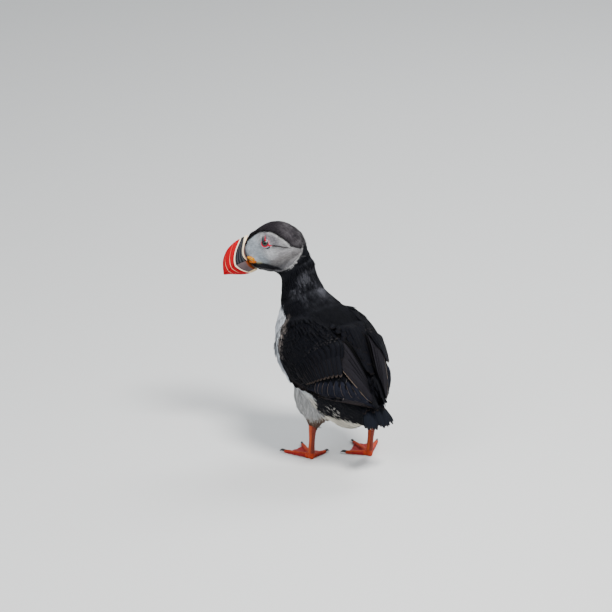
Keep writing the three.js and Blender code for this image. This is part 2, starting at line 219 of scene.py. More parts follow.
class Nodes:
    def __init__(self, tree):
        self.tree = tree

    def add(self, kind, settings=None, links=None):
        made = self.tree.nodes.new(kind)
        for key, value in (settings or {}).items():
            setattr(made, key, value)
        for key, value in (links or {}).items():
            self.feed(made.inputs[key], value)
        return made

    def feed(self, socket, value):
        if isinstance(value, Number):
            value = value.socket
        if isinstance(value, bpy.types.NodeSocket):
            self.tree.links.new(value, socket)
        else:
            socket.default_value = value

    def out(self, kind, settings=None, links=None):
        return self.add(kind, settings, links).outputs[0]

    def number(self, kind, settings=None, links=None, output=0):
        return Number(self, self.add(kind, settings, links).outputs[output])

    def value(self, name):
        return self.number("ShaderNodeAttribute", {"attribute_name": name}, None, "Fac")

    def plumage(self):
        return self.out("ShaderNodeAttribute", {"attribute_name": "plumage"})

    def layout(self, name):
        # the two directions of a uv map
        place = self.out("ShaderNodeUVMap", {"uv_map": name})
        split = self.add("ShaderNodeSeparateXYZ", None, {"Vector": place}).outputs
        return Number(self, split[0]), Number(self, split[1])

    def place(self):
        return self.add("ShaderNodeTexCoord").outputs["Object"]

    def noise(self, scale, detail, stretch=None):
        place = self.place()
        if stretch:
            place = self.out("ShaderNodeMapping", None, {"Vector": place, "Scale": stretch})
        return self.number("ShaderNodeTexNoise", None, {"Vector": place, "Scale": scale, "Detail": detail})

    def cells(self, feature, scale):
        return self.number("ShaderNodeTexVoronoi", {"feature": feature},
                           {"Vector": self.place(), "Scale": scale})

    def step(self, value, low, high):
        # 0 at low, 1 at high and smooth between
        return self.number("ShaderNodeMapRange", {"interpolation_type": "SMOOTHSTEP"},
                           {"Value": value, "From Min": low, "From Max": high})

    def band(self, value, middle, width, soft):
        return 1 - self.step((value - middle).size(), width / 2, width / 2 + soft)

    def mix(self, factor, first, second):
        made = self.add("ShaderNodeMix", {"data_type": "RGBA"}, {0: factor, 6: first, 7: second})
        return made.outputs[2]

    def scaled(self, vector, amount):
        return self.out("ShaderNodeVectorMath", {"operation": "SCALE"}, {0: vector, "Scale": amount})


def newFinish(name, build, rough, gloss=0.5, **more):
    # build(nodes) gives the colour and, on most finishes, a bump's height and its depth in metres
    made = bpy.data.materials.new(name)
    made.use_nodes = True
    made.node_tree.nodes.clear()
    n = Nodes(made.node_tree)
    colour, *bump = build(n)
    values = {"Base Color": colour, "Roughness": rough, "Specular IOR Level": gloss, **more}
    if bump:
        values["Normal"] = n.out("ShaderNodeBump", None, {"Height": bump[0], "Distance": bump[1]})
    n.add("ShaderNodeOutputMaterial", None, {"Surface": n.out("ShaderNodeBsdfPrincipled", None, values)})
    return made


def shown(mesh):
    return link(mesh.name, mesh)


def meshOf(name, points, faces, maps=None):
    # maps: uv layers by name, one (u, v) for each point
    mesh = bpy.data.meshes.new(name)
    mesh.from_pydata([tuple(p) for p in points], [], faces)
    corner = np.zeros(len(mesh.loops), int)
    mesh.loops.foreach_get("vertex_index", corner)
    for key, values in (maps or {}).items():
        layer = mesh.uv_layers.new(name=key)
        layer.data.foreach_set("uv", np.array(values, float)[corner].ravel())
    mesh.polygons.foreach_set("use_smooth", [True] * len(faces))
    mesh.update()
    return mesh


def opened(*meshes):
    made = bmesh.new()
    for mesh in meshes:
        made.from_mesh(mesh)
    return made


def closed(made, mesh):
    made.to_mesh(mesh)
    made.free()
    return mesh


def joined(name, parts):
    # one mesh of several, which are used up
    mesh = closed(opened(*parts), bpy.data.meshes.new(name))
    for part in parts:
        bpy.data.meshes.remove(part)
    return mesh


def outward(mesh):
    made = opened(mesh)
    bmesh.ops.recalc_face_normals(made, faces=made.faces)
    if made.calc_volume(signed=True) < 0:
        bmesh.ops.reverse_faces(made, faces=made.faces)
    return closed(made, mesh)


def ringFaces(rows, count, first=0, ends=True):
    # quads between rings of points, count in each, and a face over each end
    edges = [(first + j, first + (j + 1) % count) for j in range(count)]
    faces = [(a + i * count, b + i * count, b + (i + 1) * count, a + (i + 1) * count)
             for i in range(rows - 1) for a, b in edges]
    if ends:
        last = first + rows * count - 1
        faces += [tuple(first + j for j in range(count)), tuple(last - j for j in range(count))]
    return faces


def tube(name, rings, ends=True, layout=None):
    # rings of points, each the same count; uv runs along the rings and round them
    rows, count = len(rings), len(rings[0])
    points = [p for ring in rings for p in ring]
    layout = layout or [(i / (rows - 1), j / count) for i in range(rows) for j in range(count)]
    return outward(meshOf(name, points, ringFaces(rows, count, ends=ends), {"lay": layout}))


def finished(piece, name):
    # the piece with its modifiers applied, as a plain mesh
    tree = bpy.context.evaluated_depsgraph_get()
    mesh = bpy.data.meshes.new_from_object(piece.evaluated_get(tree), depsgraph=tree)
    mesh.name = name
    old = piece.data
    piece.modifiers.clear()
    bpy.data.objects.remove(piece)
    if old.users == 0:
        bpy.data.meshes.remove(old)
    return link(name, mesh)


def remeshed(mesh, name, voxel, rounds):
    # one closed smooth surface over everything in the mesh
    piece = link("solids", mesh)
    remesh = piece.modifiers.new("remesh", "REMESH")
    remesh.mode, remesh.voxel_size = "VOXEL", voxel * mm
    soften = piece.modifiers.new("soften", "SMOOTH")
    soften.factor, soften.iterations = 0.5, rounds
    piece = finished(piece, name)
    piece.data.polygons.foreach_set("use_smooth", [True] * len(piece.data.polygons))
    return piece


def vectors(collection, key):
    values = np.zeros(len(collection) * 3)
    collection.foreach_get(key, values)
    return values.reshape(-1, 3)


def setPlaces(mesh, points):
    mesh.vertices.foreach_set("co", points.ravel())
    mesh.update()


def keep(mesh, name, values, kind="FLOAT"):
    # an attribute with a value for each point
    field = {"FLOAT": "value", "FLOAT_VECTOR": "vector", "FLOAT_COLOR": "color"}[kind]
    if kind == "FLOAT_COLOR":
        values = np.concatenate((values, np.ones((len(values), 1))), axis=1)
    mesh.attributes.new(name, kind, "POINT").data.foreach_set(field, values.astype(np.float32).ravel())


# the skin: one closed surface under the feathers
skinPlan = {
    "voxel": 1.15,  # mm
    "soften": 8,  # rounds of smoothing after the remesh
    "seams": 90,  # rounds of smoothing where the wings and the throat join the body
    "swell": 0.4,  # mm added to each solid so that neighbours join
    "flesh": ["trunk", "neck", "head", "thigh_left", "thigh_right", "wing_left", "wing_right"],
    "fill": ["eye", "brow_plate", "cheek_plate", "rosette"],
    "billRoot": ((30.3, 5.5, 0), (7.4, 16.6, 7.6)),  # a plug where the bill grows from the head
    # down that fills the step from the breast to the left wing's front edge, and its radius
    "shoulder": [(33, -43, 130), (37, -45.5, 120), (38.5, -46, 110), (38.5, -43, 100),
                 (37.5, -36, 89), (34.5, -27, 78), (30, -20, 68)],
    "shoulderSize": 5.5,
    "shoulderBalls": 20,
    "depth": {"head": 0.9, "neck": 1.7, "trunk": 2.6, "wing": 1.3, "thigh": 1.7},  # mm of coat
}
spine = [(8, -73, 205), (4, -68, 195), (0, -53, 156), (0, -32, 124), (0, 8, 88), (0, 42, 62), (0, 60, 48)]
wingSpine = [(34, -46, 122), (42, -24, 112), (42, -2, 101), (33, 20, 92), (15, 44, 81), (4, 64, 68.5)]


def solidCopy(node, grow):
    made = opened(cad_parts[node].data)
    bmesh.ops.remove_doubles(made, verts=made.verts, dist=1e-6)
    made.normal_update()
    for v, normal in [(v, v.normal.copy()) for v in made.verts]:
        v.co += normal * grow
    return made


def joinedFlesh():
    nodes = skinPlan["flesh"] + [f"{part}_{side}" for part in skinPlan["fill"] for side in sides]
    parts = [closed(solidCopy(node, skinPlan["swell"] * mm), bpy.data.meshes.new("part")) for node in nodes]
    flesh = joined("flesh", parts)
    whole = opened(flesh)

    def ball(detail, placed):
        for v in bmesh.ops.create_icosphere(whole, subdivisions=detail, radius=1)["verts"]:
            v.co = placed(v.co)
    centre, radii = skinPlan["billRoot"]
    ball(4, lambda p: headAt(*(p[i] * radii[i] + centre[i] for i in range(3))))
    for sign in sides.values():
        for share in np.linspace(0, 1, skinPlan["shoulderBalls"]):
            x, y, z = curveAt(skinPlan["shoulder"], share)
            ball(3, lambda p: onBird((x * sign, y, z)) + p * skinPlan["shoulderSize"] * mm)
    return closed(whole, flesh)


class Body:
    # the skin's points in the ways that markings and feather directions need them: f, k and out on
    # the head, x, y and z on the bird, and how far each part of the bird is
    def __init__(self, points):
        self.row = points
        self.bird = (points - np.array(origin)) / mm
        rest = self.bird - np.array(head["place"])
        self.f, self.k, self.out = (rest @ np.array(axis) for axis in (ahead, headUp, outLeft))
        self.x, self.y, self.z = self.bird.T
        nodes, rows = skinPlan["flesh"], [Vector(p) for p in points]
        trees = [BVHTree.FromBMesh(solidCopy(node, 0)) for node in nodes]
        far = np.array([[tree.find_nearest(p)[3] for p in rows] for tree in trees]) / mm
        closest = far.argmin(0)
        self.part, self.far = {}, {}
        for part in skinPlan["depth"]:
            mine = [i for i, node in enumerate(nodes) if node.startswith(part)]
            self.part[part] = np.isin(closest, mine)
            self.far[part] = far[mine].min(0)


def alongPath(points, path):
    # the direction of the path near each point, smoothed, and the share of it passed
    t = np.linspace(0, 1, 90)
    places = np.array([curveAt(path, v) for v in t])
    headings = unit(np.gradient(places, axis=0))
    away = np.linalg.norm(points[:, None, :] - places[None, :, :], axis=2)
    weight = np.exp(-(away - away.min(1)[:, None]) / 6)
    weight /= weight.sum(1)[:, None]
    return weight @ headings, weight @ t


def offLine(u, v, line):
    # signed distance of (u, v) from an open line in that plane, plus on its left as it runs
    line = np.array(line, float)
    best = np.full(len(u), 1e9)
    sign = np.ones(len(u))
    for a, b in zip(line[:-1], line[1:]):
        step = b - a
        t = np.clip(((u - a[0]) * step[0] + (v - a[1]) * step[1]) / (step @ step), 0, 1)
        near = np.hypot(u - a[0] - t * step[0], v - a[1] - t * step[1])
        side = step[0] * (v - a[1]) - step[1] * (u - a[0])
        closer = near < best - 1e-6
        best = np.where(closer, near, best)
        sign = np.where(closer, np.where(side >= 0, 1.0, -1.0), sign)
    return best * sign


def besideEdge(body, line):
    # the way backward along a marking's edge on the head, and 1 near it falling to 0 away from it
    line = np.array(line, float)
    steps = unit(line[:-1] - line[1:])
    middles = (line[1:] + line[:-1]) / 2
    off = np.hypot(body.f[:, None] - middles[:, 0], body.k[:, None] - middles[:, 1])
    weight = np.exp(-off / 2)
    heading = (weight / weight.sum(1)[:, None]) @ steps
    way = heading[:, :1] * np.array(ahead) + heading[:, 1:] * np.array(headUp)
    return way, ease(-np.abs(offLine(body.f, body.k, line)), -3.5, -1.05)


def lieOf(body, normals):
    # the way the coat lies: down the spine and the wings, and back from the bill on the head
    trunkWay = alongPath(body.bird, spine)[0]
    wingWay = np.zeros_like(trunkWay)
    body.wingAlong = np.zeros(len(body.x))
    for sign in sides.values():
        way, share = alongPath(body.bird, np.array(wingSpine) * (sign, 1, 1))
        mine = body.x * sign > 0
        wingWay[mine], body.wingAlong[mine] = way[mine], share[mine]
    backward = np.tile(-np.array(ahead), (len(body.x), 1)) + (0, 0, -0.25)
    backward = mixed(backward, trunkWay * 0.5 + (0, 0, -0.7), 0.95 * ease(-body.f, 3, 15))
    onHead = ease(body.far["neck"] - body.far["head"], -4, 4)
    way = mixed(trunkWay, backward, onHead)
    for edge in ("faceTop", "faceBottom"):
        beside, near = besideEdge(body, marks[edge])
        way = mixed(way, beside, near * ease(np.abs(body.out), 5, 8) * (onHead > 0.1))
    way = mixed(way, wingWay, ease(body.far["trunk"] - body.far["wing"], -2, 3))
    way = mixed(way, np.array((0, 0.25, -1)), ease(body.far["trunk"] - body.far["thigh"], -3, 3))
    way -= normals * (way * normals).sum(1)[:, None]
    body.flow = np.linalg.norm(way, axis=1)  # near 0 where the coat has no way to lie
    return way / np.maximum(body.flow, 1e-6)[:, None]


marks = {
    # where each colour of plumage lies, as lines: on the head's side as (ahead, up), on the
    # bird's side as (y, z); the face's upper and lower edges run from behind to the bill
    "faceTop": [(-20.8, -5.4), (-18.4, -3.1), (-14.4, -0.5), (-10.4, 3.3), (-8.3, 8.8), (-6.6, 11.6),
                (-3.5, 15.3), (-0.6, 18.6), (2.8, 21.6), (10.4, 23.9), (18, 23.6), (26.4, 20.9), (36, 14)],
    "faceBottom": [(-20.8, -5.4), (-17.3, -8.4), (-13.5, -10.5), (-8.6, -12.7), (-3.8, -15.5),
                   (4, -17.6), (12, -19.2), (20, -18), (36, -14)],
    "furrow": [(8.6, 10.9), (6.2, 10.1), (3.9, 9.4), (1, 8.1), (-3.1, 5.3), (-6.2, 3.8), (-9.6, 2.7)],
    "chinTop": [(5, -18), (9, -15.8), (13, -11.6), (16.2, -8.6), (23, -4.8), (33, -1.5)],
    "chinBottom": [(5, -18.4), (12.5, -17), (20, -13.6), (26.5, -11.2), (33, -8)],
    "billRear": [(25.5, 26), (27, 23), (31.5, 18.5), (34.3, 12.6), (34.9, 7), (34, 2.3), (33, -5),
                 (31, -13)],
    # black above and white below, from the breast to the tail
    "bodyEdge": [(-110, 137), (-85, 138), (-74, 141), (-62, 142), (-50, 139), (-45, 132), (-44, 121),
                 (-44, 112), (-41.5, 106), (-38.5, 101), (-34, 95), (-28, 88), (-24, 82), (-16, 79),
                 (-7, 77), (-2.5, 72), (-1.5, 64), (-0.5, 55.5), (3, 50.5), (10, 49.5), (20, 50.5),
                 (29, 49.5), (35, 46), (42, 43), (55, 42), (70, 42)],
    # the wing's black front edge, where breast feathers lap over it
    "wingFront": [(-50, 150), (-46, 140), (-43.5, 128), (-43, 118), (-43, 111.5), (-41, 106), (-38, 101),
                  (-34, 95), (-28, 88), (-24, 82), (-20, 78), (-18, 60)],
}
shades = {
    "back": srgb(12, 13, 18), "neck": srgb(15, 16, 21), "worn": srgb(98, 99, 107),
    "cap": srgb(45, 41, 46), "capWorn": srgb(104, 100, 104), "capEdge": srgb(8, 8, 10),
    # the lower cheek and jowl greys: the face's own darker lower edge, with painted shade of the cheek's
    # underside added
    "cheek": srgb(162, 161, 164), "lowCheekAndShade": srgb(124, 122, 123), "jowlAndShade": srgb(100, 99, 102),
    "brow": srgb(172, 171, 173), "browFront": srgb(128, 126, 131), "lores": srgb(164, 173, 182),
    "below": srgb(190, 192, 196), "rim": srgb(205, 205, 205), "gapeSide": srgb(178, 170, 120),
    # cream is white plumage with painted warm light reflected from below
    # white is white plumage tinted blue-grey by painted shade
    "chin": srgb(34, 34, 39), "white": srgb(217, 222, 229), "cream": srgb(226, 220, 205),
    "dusky": srgb(32, 33, 38), "scale": srgb(136, 127, 122), "ankle": srgb(104, 84, 74),
    # thigh is white plumage painted grey as painted shade
    "wrist": srgb(44, 38, 38), "thigh": srgb(198, 198, 198), "quill": srgb(25, 27, 36),
    # the near-black gap colour is a painted shadow for the crevice between the folded wings
    "covert": srgb(16, 17, 22), "tail": srgb(19, 22, 29), "tertial": srgb(24, 23, 27), "gap": srgb(3, 3, 4),
}


def within(distance, soft=0.6):
    # 1 where the distance is above 0, with a soft edge
    return ease(distance, -soft, soft)


def cloudy(points, size, seed):
    # soft noise from -1 to 1 over the body, with patches about size mm across
    shift = Vector((seed * 31.7, seed * 17.3, 5.1))
    return np.array([noise.noise(Vector(p) / size + shift) for p in points]) * 1.6


def markPlumage(body):
    # the colour of each point, the coats' zones, and how pale its feathers' tips and streaks are
    f, k, out, y, z = body.f, body.k, np.abs(body.out), body.y, body.z
    far, part = body.far, body.part
    fine, broad = cloudy(body.bird, 2.2, 1), cloudy(body.bird, 9, 2)
    colour = np.tile(np.array(shades["back"][:3]), (len(f), 1))

    def past(name):
        u, v = (y, z) if name in ("bodyEdge", "wingFront") else (f, k)
        return offLine(u, v, marks[name])

    def paint(shade, share):
        colour[:] = mixed(colour, np.array(shades[shade][:3]), np.clip(share, 0, 1))

    top, bottom, edge, front = past("faceTop"), past("faceBottom"), past("bodyEdge"), past("wingFront")
    besideFace = (bottom > -0.6) & (top < 0.3) & (f > -21) & (far["head"] < 6)
    onHead = part["head"] | (far["head"] < 2.5) | besideFace
    above = edge + fine * 1.5
    # the white below carries a blue-grey tint of painted shade
    paint("white", within(-above, 0.9))
    # the rear of the belly takes cream: painted warm light reflected from below
    paint("cream", within(-above, 0.9) * ease(z, 80, 60) * ease(y, -40, -10))
    dusky = within(above) * ease(above, 26, 18) * ease(y, -26, -12) * (1 - part["wing"])
    paint("dusky", dusky)
    onNeck = ease(z, 126, 150) * within(above)
    paint("neck", onNeck)
    nape = y + 53 + 0.385 * (z - 156)  # mm behind the neck's middle
    worn = onNeck * ease(z, 148, 160) * ease(nape, -5, 4) * ease(-bottom, 6, 13)
    worn *= ease(cloudy(body.bird, 14, 4) * 0.6 + broad * 0.5 + fine * 0.8, -0.3, 1.1)
    paint("worn", worn * 0.52)
    # the thigh's grey is painted shade on white feathers
    paint("thigh", part["thigh"] * ease(z, 42, 50))
    paint("ankle", part["thigh"] * ease(z + fine * 2.5, 50, 43))
    wing = part["wing"] * within(front + fine, 0.8)
    # the wing's white front edge carries the same blue-grey painted shade
    paint("white", part["wing"] * (1 - wing))
    paint("back", wing)
    scaly = ease(front + fine * 1.5, -1, 1) * ease(front + fine * 2, 9, 4)
    scaly *= ease(z, 103, 110) * ease(z, 146, 138) * within(above, 1.5) * (part["wing"] | part["trunk"])
    paint("scale", scaly * ease(fine, -0.5, 0.5) * 0.75)
    paint("wrist", wing * ease(edge, 9, 3) * ease(y, -30, -10) * (0.7 + fine * 0.3))

    furrow = past("furrow")
    capHere = onHead * within(top + 0.2, 0.3)
    paint("cap", capHere * ease(f, -22, -14))
    paint("capWorn", capHere * ease(top, 1, 5) * ease(f + k * 0.4, 12, -6)
          * ease(broad * 0.6 + fine * 0.7, -1.3, 1.0) * 0.9)
    paint("capEdge", capHere * ease(top, 2.0 + 2 * ease(f, 12, 22), 0.9))
    face = onHead * within(-top, 0.3) * within(bottom, 0.5) * ease(out + ease(k, -12, 0) * 20, 3.5, 6.5)
    paint("cheek", face)
    # darker towards the bottom: the face's own darker lower edge, with painted shade of the cheek's
    # underside
    paint("lowCheekAndShade", face * ease(k - f * 0.1, 5, -6))
    paint("jowlAndShade", face * ease(k, -7, -14))
    paint("below", face * ease(np.hypot(f - 12, k - 3), 9, 3) * 0.7)
    higher = face * within(-furrow, 0.5) * ease(k, -1, 3) * ease(f, 18, 11)
    paint("brow", higher)
    paint("browFront", higher * ease(f, -4.5, 2) * ease(f, 14, 10))
    paint("rim", higher * ease(top, -2.0, -0.9) * ease(f, 9, 4) * 0.7)
    paint("lores", face * ease(f, 12, 24) * ease(k, -10, -2) * 0.9)
    paint("rim", face * ease(bottom, 1.4, 0.6) * ease(f, 12, 4) * 0.55)
    rear = face * ease(f + 0.5 * k, -6, -18) * ease(k, 2, -8)
    paint("capWorn", rear * ease(fine, -0.4, 0.6) * 0.3 * ease(bottom, 0.8, 2.8))
    hair = np.array([noise.noise(Vector((a / 5, b / 0.9, c / 0.9))) for a, b, c in zip(f, k, out)])
    colour *= (1 + (0.3 + 0.25 * higher) * hair * face)[:, None]
    paint("chin", onHead * within(-past("chinTop"), 0.8) * within(past("chinBottom"), 0.8) * ease(f, 4, 10))
    paint("chin", onHead * ease(out, 6, 4) * ease(k, -8, -12) * 0.9)
    paint("gapeSide", face * ease(np.hypot((f - 27) / 4, (k + 3.4) / 1.6), 1.2, 0.5) * 0.5)
    body.line = ease(np.abs(furrow), 0.8, 0.4) * face * ease(f, 9, 8)
    paint("capEdge", body.line)

    # the eye and the bill keep clear of feathers
    beforeBill = past("billRear") < 1.0
    eye, aboveEye = np.hypot(f - eyeF, k - eyeK), np.hypot(f - eyeF + 1, k - eyeK - 1.5)
    white = above < 0
    upper, lower = onHead & (top > -0.2), onHead & (bottom < -0.5)
    onWing = part["wing"] & (wing > 0.5)
    saddle = onWing & ((body.wingAlong < 0.2) | (far["trunk"] < 2.5)) & (z > 100)
    dark = part["trunk"] & ~white
    zones = {
        "face": onHead & ~upper & ~lower & beforeBill & (eye > 3.5) & (aboveEye > 4),
        "cap": (upper | lower) & beforeBill,
        "neck": (part["neck"] & ~onHead & ((bottom < -1) | (far["head"] > 12))) | (dark & (z > 138)),
        "back": (dark & (z <= 140) & (dusky < 0.5)) | saddle,
        "breast": (part["trunk"] & white) | (part["wing"] & ~onWing),
        "flank": dark & (dusky >= 0.5),
        "covert": onWing & ~saddle & (body.wingAlong < 0.74),
        "thigh": part["thigh"],
    }
    for name in ("back", "breast", "flank", "covert"):
        zones[name] = zones[name] & (body.flow > 0.35)
    fringe = 0.04 + 0.15 * dusky + wing * ease(body.wingAlong, 0.3, 0.5) * 0.5
    fringe = np.where(onHead | white, 0.0, np.maximum(np.maximum(fringe, worn * 0.4), scaly))
    streak = dusky * (0.15 * ease(above, 18, 2) + 0.42 * ease(np.hypot(y - 17, z - 60), 10, 4))
    return colour, zones, np.clip(fringe, 0, 1), np.clip(streak, 0, 1)


def blurOver(mesh, values, rounds):
    # evens a number out over the surface, each round taking in the next ring of points
    ends = np.zeros(len(mesh.edges) * 2, int)
    mesh.edges.foreach_get("vertices", ends)
    a, b = ends.reshape(-1, 2).T
    count = np.bincount(ends, minlength=len(values)) + 1
    for _ in range(rounds):
        total = values.copy()
        np.add.at(total, a, values[b])
        np.add.at(total, b, values[a])
        values = total / count
    return values


def easeSeams(mesh):
    # fills the steps where the folded wings meet the back and breast, and the throat the neck
    body = Body(vectors(mesh.vertices, "co"))
    far = body.far
    weight = ease(np.maximum(far["trunk"], far["wing"]), 8.5, 4)
    weight *= ease(body.z + 14 * ease(-body.y, 22, 32), 88, 97)
    throat = ease(np.maximum(far["head"], far["neck"]), 9, 4) * ease(body.k, -12, -17)
    weight = blurOver(mesh, np.maximum(weight, throat), 6)
    smooth = np.stack([blurOver(mesh, axis, skinPlan["seams"]) for axis in body.row.T], axis=1)
    setPlaces(mesh, mixed(body.row, smooth, weight))


def sinkSkin(mesh, body, normals):
    # lowers the skin by its coat's depth, and gives the surface as it was for other pieces to lie on
    depth = np.zeros(len(body.x))
    for part, value in skinPlan["depth"].items():
        depth[body.part[part]] = value
    depth = blurOver(mesh, depth, 6) + skinPlan["swell"]
    depth += body.line * 0.5
    socket = np.hypot(body.f - eyeF + 0.6, body.k - eyeK - 0.8)
    depth += 0.9 * ease(socket, 6.5, 4) * (np.abs(body.out) > 6)
    crown = np.maximum(ease(body.k, 14, 20), ease(-body.f, 12, 18) * ease(body.k, -4, 2))
    depth -= 0.6 * crown * body.part["head"]  # the crown's coat is thin
    tree = BVHTree.FromPolygons([tuple(p) for p in body.row], [tuple(p.vertices) for p in mesh.polygons])
    for i in np.flatnonzero(body.part["wing"]):  # a wing sinks by a third of its thickness at most
        p, n = body.row[i], normals[i]
        through = tree.ray_cast(Vector(p - n * 2e-5), Vector(-n), 0.02)[3]
        if through is not None:
            depth[i] = min(depth[i], 0.32 * through / mm)
    depth = np.minimum(blurOver(mesh, depth, 2), depth + 0.2)
    setPlaces(mesh, body.row - normals * depth[:, None] * mm)
    return tree


def largestPart(mesh):
    # drops the inner shells that remeshing leaves
    made = opened(mesh)
    unseen, parts = set(made.verts), []
    while unseen:
        group, edge = set(), [unseen.pop()]
        while edge:
            v = edge.pop()
            group.add(v)
            near = {e.other_vert(v) for e in v.link_edges} & unseen
            unseen -= near
            edge.extend(near)
        parts.append(group)
    largest = max(parts, key=len)
    bmesh.ops.delete(made, geom=[v for part in parts if part is not largest for v in part])
    closed(made, mesh)


def unwrapSkin(piece):
    bpy.context.view_layer.objects.active = piece
    piece.select_set(True)
    bpy.ops.object.mode_set(mode="EDIT")
    bpy.ops.mesh.select_all(action="SELECT")
    bpy.ops.uv.smart_project(angle_limit=radians(70), island_margin=0.004)
    bpy.ops.object.mode_set(mode="OBJECT")
    piece.data.uv_layers[0].name = "OFBake"
    piece.select_set(False)


def makeSkin():
    piece = remeshed(joinedFlesh(), "skin", skinPlan["voxel"], skinPlan["soften"])
    mesh = piece.data
    largestPart(mesh)
    easeSeams(mesh)
    normals = vectors(mesh.vertices, "normal")
    body = Body(vectors(mesh.vertices, "co"))
    lie = lieOf(body, normals)
    colour, zones, fringe, streak = markPlumage(body)
    hull = sinkSkin(mesh, body, normals)
    unwrapSkin(piece)
    keep(mesh, "lie", lie, "FLOAT_VECTOR")
    keep(mesh, "plumage", colour, "FLOAT_COLOR")
    keep(mesh, "fringe", fringe)
    keep(mesh, "streak", streak)
    for zone, mask in zones.items():
        keep(mesh, "zone_" + zone, mask)
    return piece, hull


def skinLook(n):
    fine = n.noise(900, 3)
    return n.mix(0.25 * fine, n.plumage(), (0.02, 0.02, 0.02, 1)), fine, 0.0004


# the coat: vanes of feather set into the skin by Geometry Nodes
vaneForms = {
    # (along, width) down one vane of unit size, its arch across the shaft and its curl
    "plush": ([(0, 0.5), (0.45, 1), (1, 0.2)], 0.12, 0.1),
    "contour": ([(0, 0.3), (0.3, 0.9), (0.7, 0.95), (0.92, 0.55), (1, 0.12)], 0.14, 0.2),
    "blunt": ([(0, 0.4), (0.4, 1), (0.8, 0.95), (0.94, 0.7), (1, 0.3)], 0.12, 0.16),
}
coats = {
    # the vane's form, then spacing, length, width and sink in mm, and radians of lift and scatter
    "face": ("plush", 0.66, 2.5, 0.85, 0.12, 0.12, 0.12),
    "cap": ("plush", 0.78, 3.2, 1.1, 0.15, 0.13, 0.12),
    "neck": ("contour", 1.15, 5.2, 1.5, 0.2, 0.13, 0.18),
    "back": ("contour", 1.9, 9.0, 3.6, 0.3, 0.12, 0.1),
    "breast": ("contour", 1.5, 8.0, 2.6, 0.3, 0.14, 0.14),
    "flank": ("contour", 1.15, 5.8, 1.5, 0.3, 0.2, 0.3),
    "covert": ("blunt", 1.7, 5.6, 3.4, 0.2, 0.09, 0.06),
    "thigh": ("contour", 1.1, 6.0, 1.6, 0.2, 0.2, 0.25),
}
coatUnits = {"Spacing": mm, "Length": mm, "Width": mm, "Sink": mm, "Lift": 1, "Scatter": 1}


def vaneMesh(name, widths, camber, curl):
    # one feather along x: a thin closed wedge, arched across its shaft
    points, layout = [], []
    for x, wide in widths:
        drop = -curl * x * x
        for y, z in ((-wide / 2, drop), (0, drop + camber * wide), (wide / 2, drop)):
            points.append((x, y, z))
            layout.append((x, 0.5 + y))
    return shown(outward(meshOf(name, points, ringFaces(len(widths), 3), {"vane": layout})))


def coatTree():
    tree = bpy.data.node_groups.new("feather_coat", "GeometryNodeTree")
    kinds = {"Geometry": "Geometry", "Vane": "Object", "Zone": "String", "Seed": "Int", "Finish": "Material"}
    for name in list(kinds) + list(coatUnits):
        tree.interface.new_socket(name, in_out="INPUT", socket_type="NodeSocket" + kinds.get(name, "Float"))
    tree.interface.new_socket("Geometry", in_out="OUTPUT", socket_type="NodeSocketGeometry")
    n = Nodes(tree)
    given = n.add("NodeGroupInput").outputs
    spacing, length, width, sink, lift, spread = (Number(n, given[name]) for name in coatUnits)

    def stored(name, kind="FLOAT_VECTOR"):
        return n.out("GeometryNodeInputNamedAttribute", {"data_type": kind}, {"Name": name})

    def chance(low, high, seed):
        return n.number("FunctionNodeRandomValue", {"data_type": "FLOAT"},
                        {2: low, 3: high, "Seed": seed}, 1)

    inside = n.out("ShaderNodeMath", {"operation": "GREATER_THAN"},
                   {0: stored(given["Zone"], "FLOAT"), 1: 0.4})
    planted = n.add("GeometryNodeDistributePointsOnFaces", {"distribute_method": "POISSON"}, {
        "Mesh": given["Geometry"], "Selection": inside, "Distance Min": spacing,
        "Density Max": 3 / (spacing * spacing), "Density Factor": 1.0, "Seed": given["Seed"]}).outputs
    turned = n.out("FunctionNodeAxesToRotation", {"primary_axis": "Z", "secondary_axis": "X"},
                   {"Primary Axis": planted["Normal"], "Secondary Axis": stored("lie")})
    for axis, angle in (((0, 0, 1), chance(-1.0, 1.0, 11) * spread),
                        ((0, 1, 0), -1 * lift * chance(0.75, 1.25, 12))):
        spin = n.out("FunctionNodeAxisAngleToRotation", None, {"Axis": axis, "Angle": angle})
        turned = n.out("FunctionNodeRotateRotation", {"rotation_space": "LOCAL"},
                       {"Rotation": turned, "Rotate By": spin})
    points = n.out("GeometryNodeSetPosition", None, {
        "Geometry": planted["Points"], "Offset": n.scaled(planted["Normal"], -1 * sink)})
    points = n.out("GeometryNodeStoreNamedAttribute", {"data_type": "FLOAT", "domain": "POINT"},
                   {"Geometry": points, "Name": "tone", "Value": chance(0.0, 1.0, 13)})
    size = chance(0.82, 1.15, 14)
    scale = n.out("ShaderNodeCombineXYZ", None, {"X": size * length, "Y": size * width, "Z": size * width})
    vane = n.add("GeometryNodeObjectInfo", {"transform_space": "ORIGINAL"}, {"Object": given["Vane"]})
    coat = n.out("GeometryNodeInstanceOnPoints", None, {
        "Points": points, "Instance": vane.outputs["Geometry"], "Rotation": turned, "Scale": scale})
    coat = n.out("GeometryNodeRealizeInstances", None, {"Geometry": coat})
    # each vane's own map becomes a small patch at its root's place on the skin's map
    patch = n.out("ShaderNodeVectorMath", {"operation": "MULTIPLY_ADD"},
                  {0: stored("vane"), 1: (0.003, 0.003, 0), 2: stored("OFBake")})
    coat = n.out("GeometryNodeStoreNamedAttribute", {"data_type": "FLOAT2", "domain": "CORNER"},
                 {"Geometry": coat, "Name": "OFBake", "Value": patch})
    coat = n.out("GeometryNodeSetMaterial", None, {"Geometry": coat, "Material": given["Finish"]})
    n.add("NodeGroupOutput", None, {"Geometry": coat})
    return tree


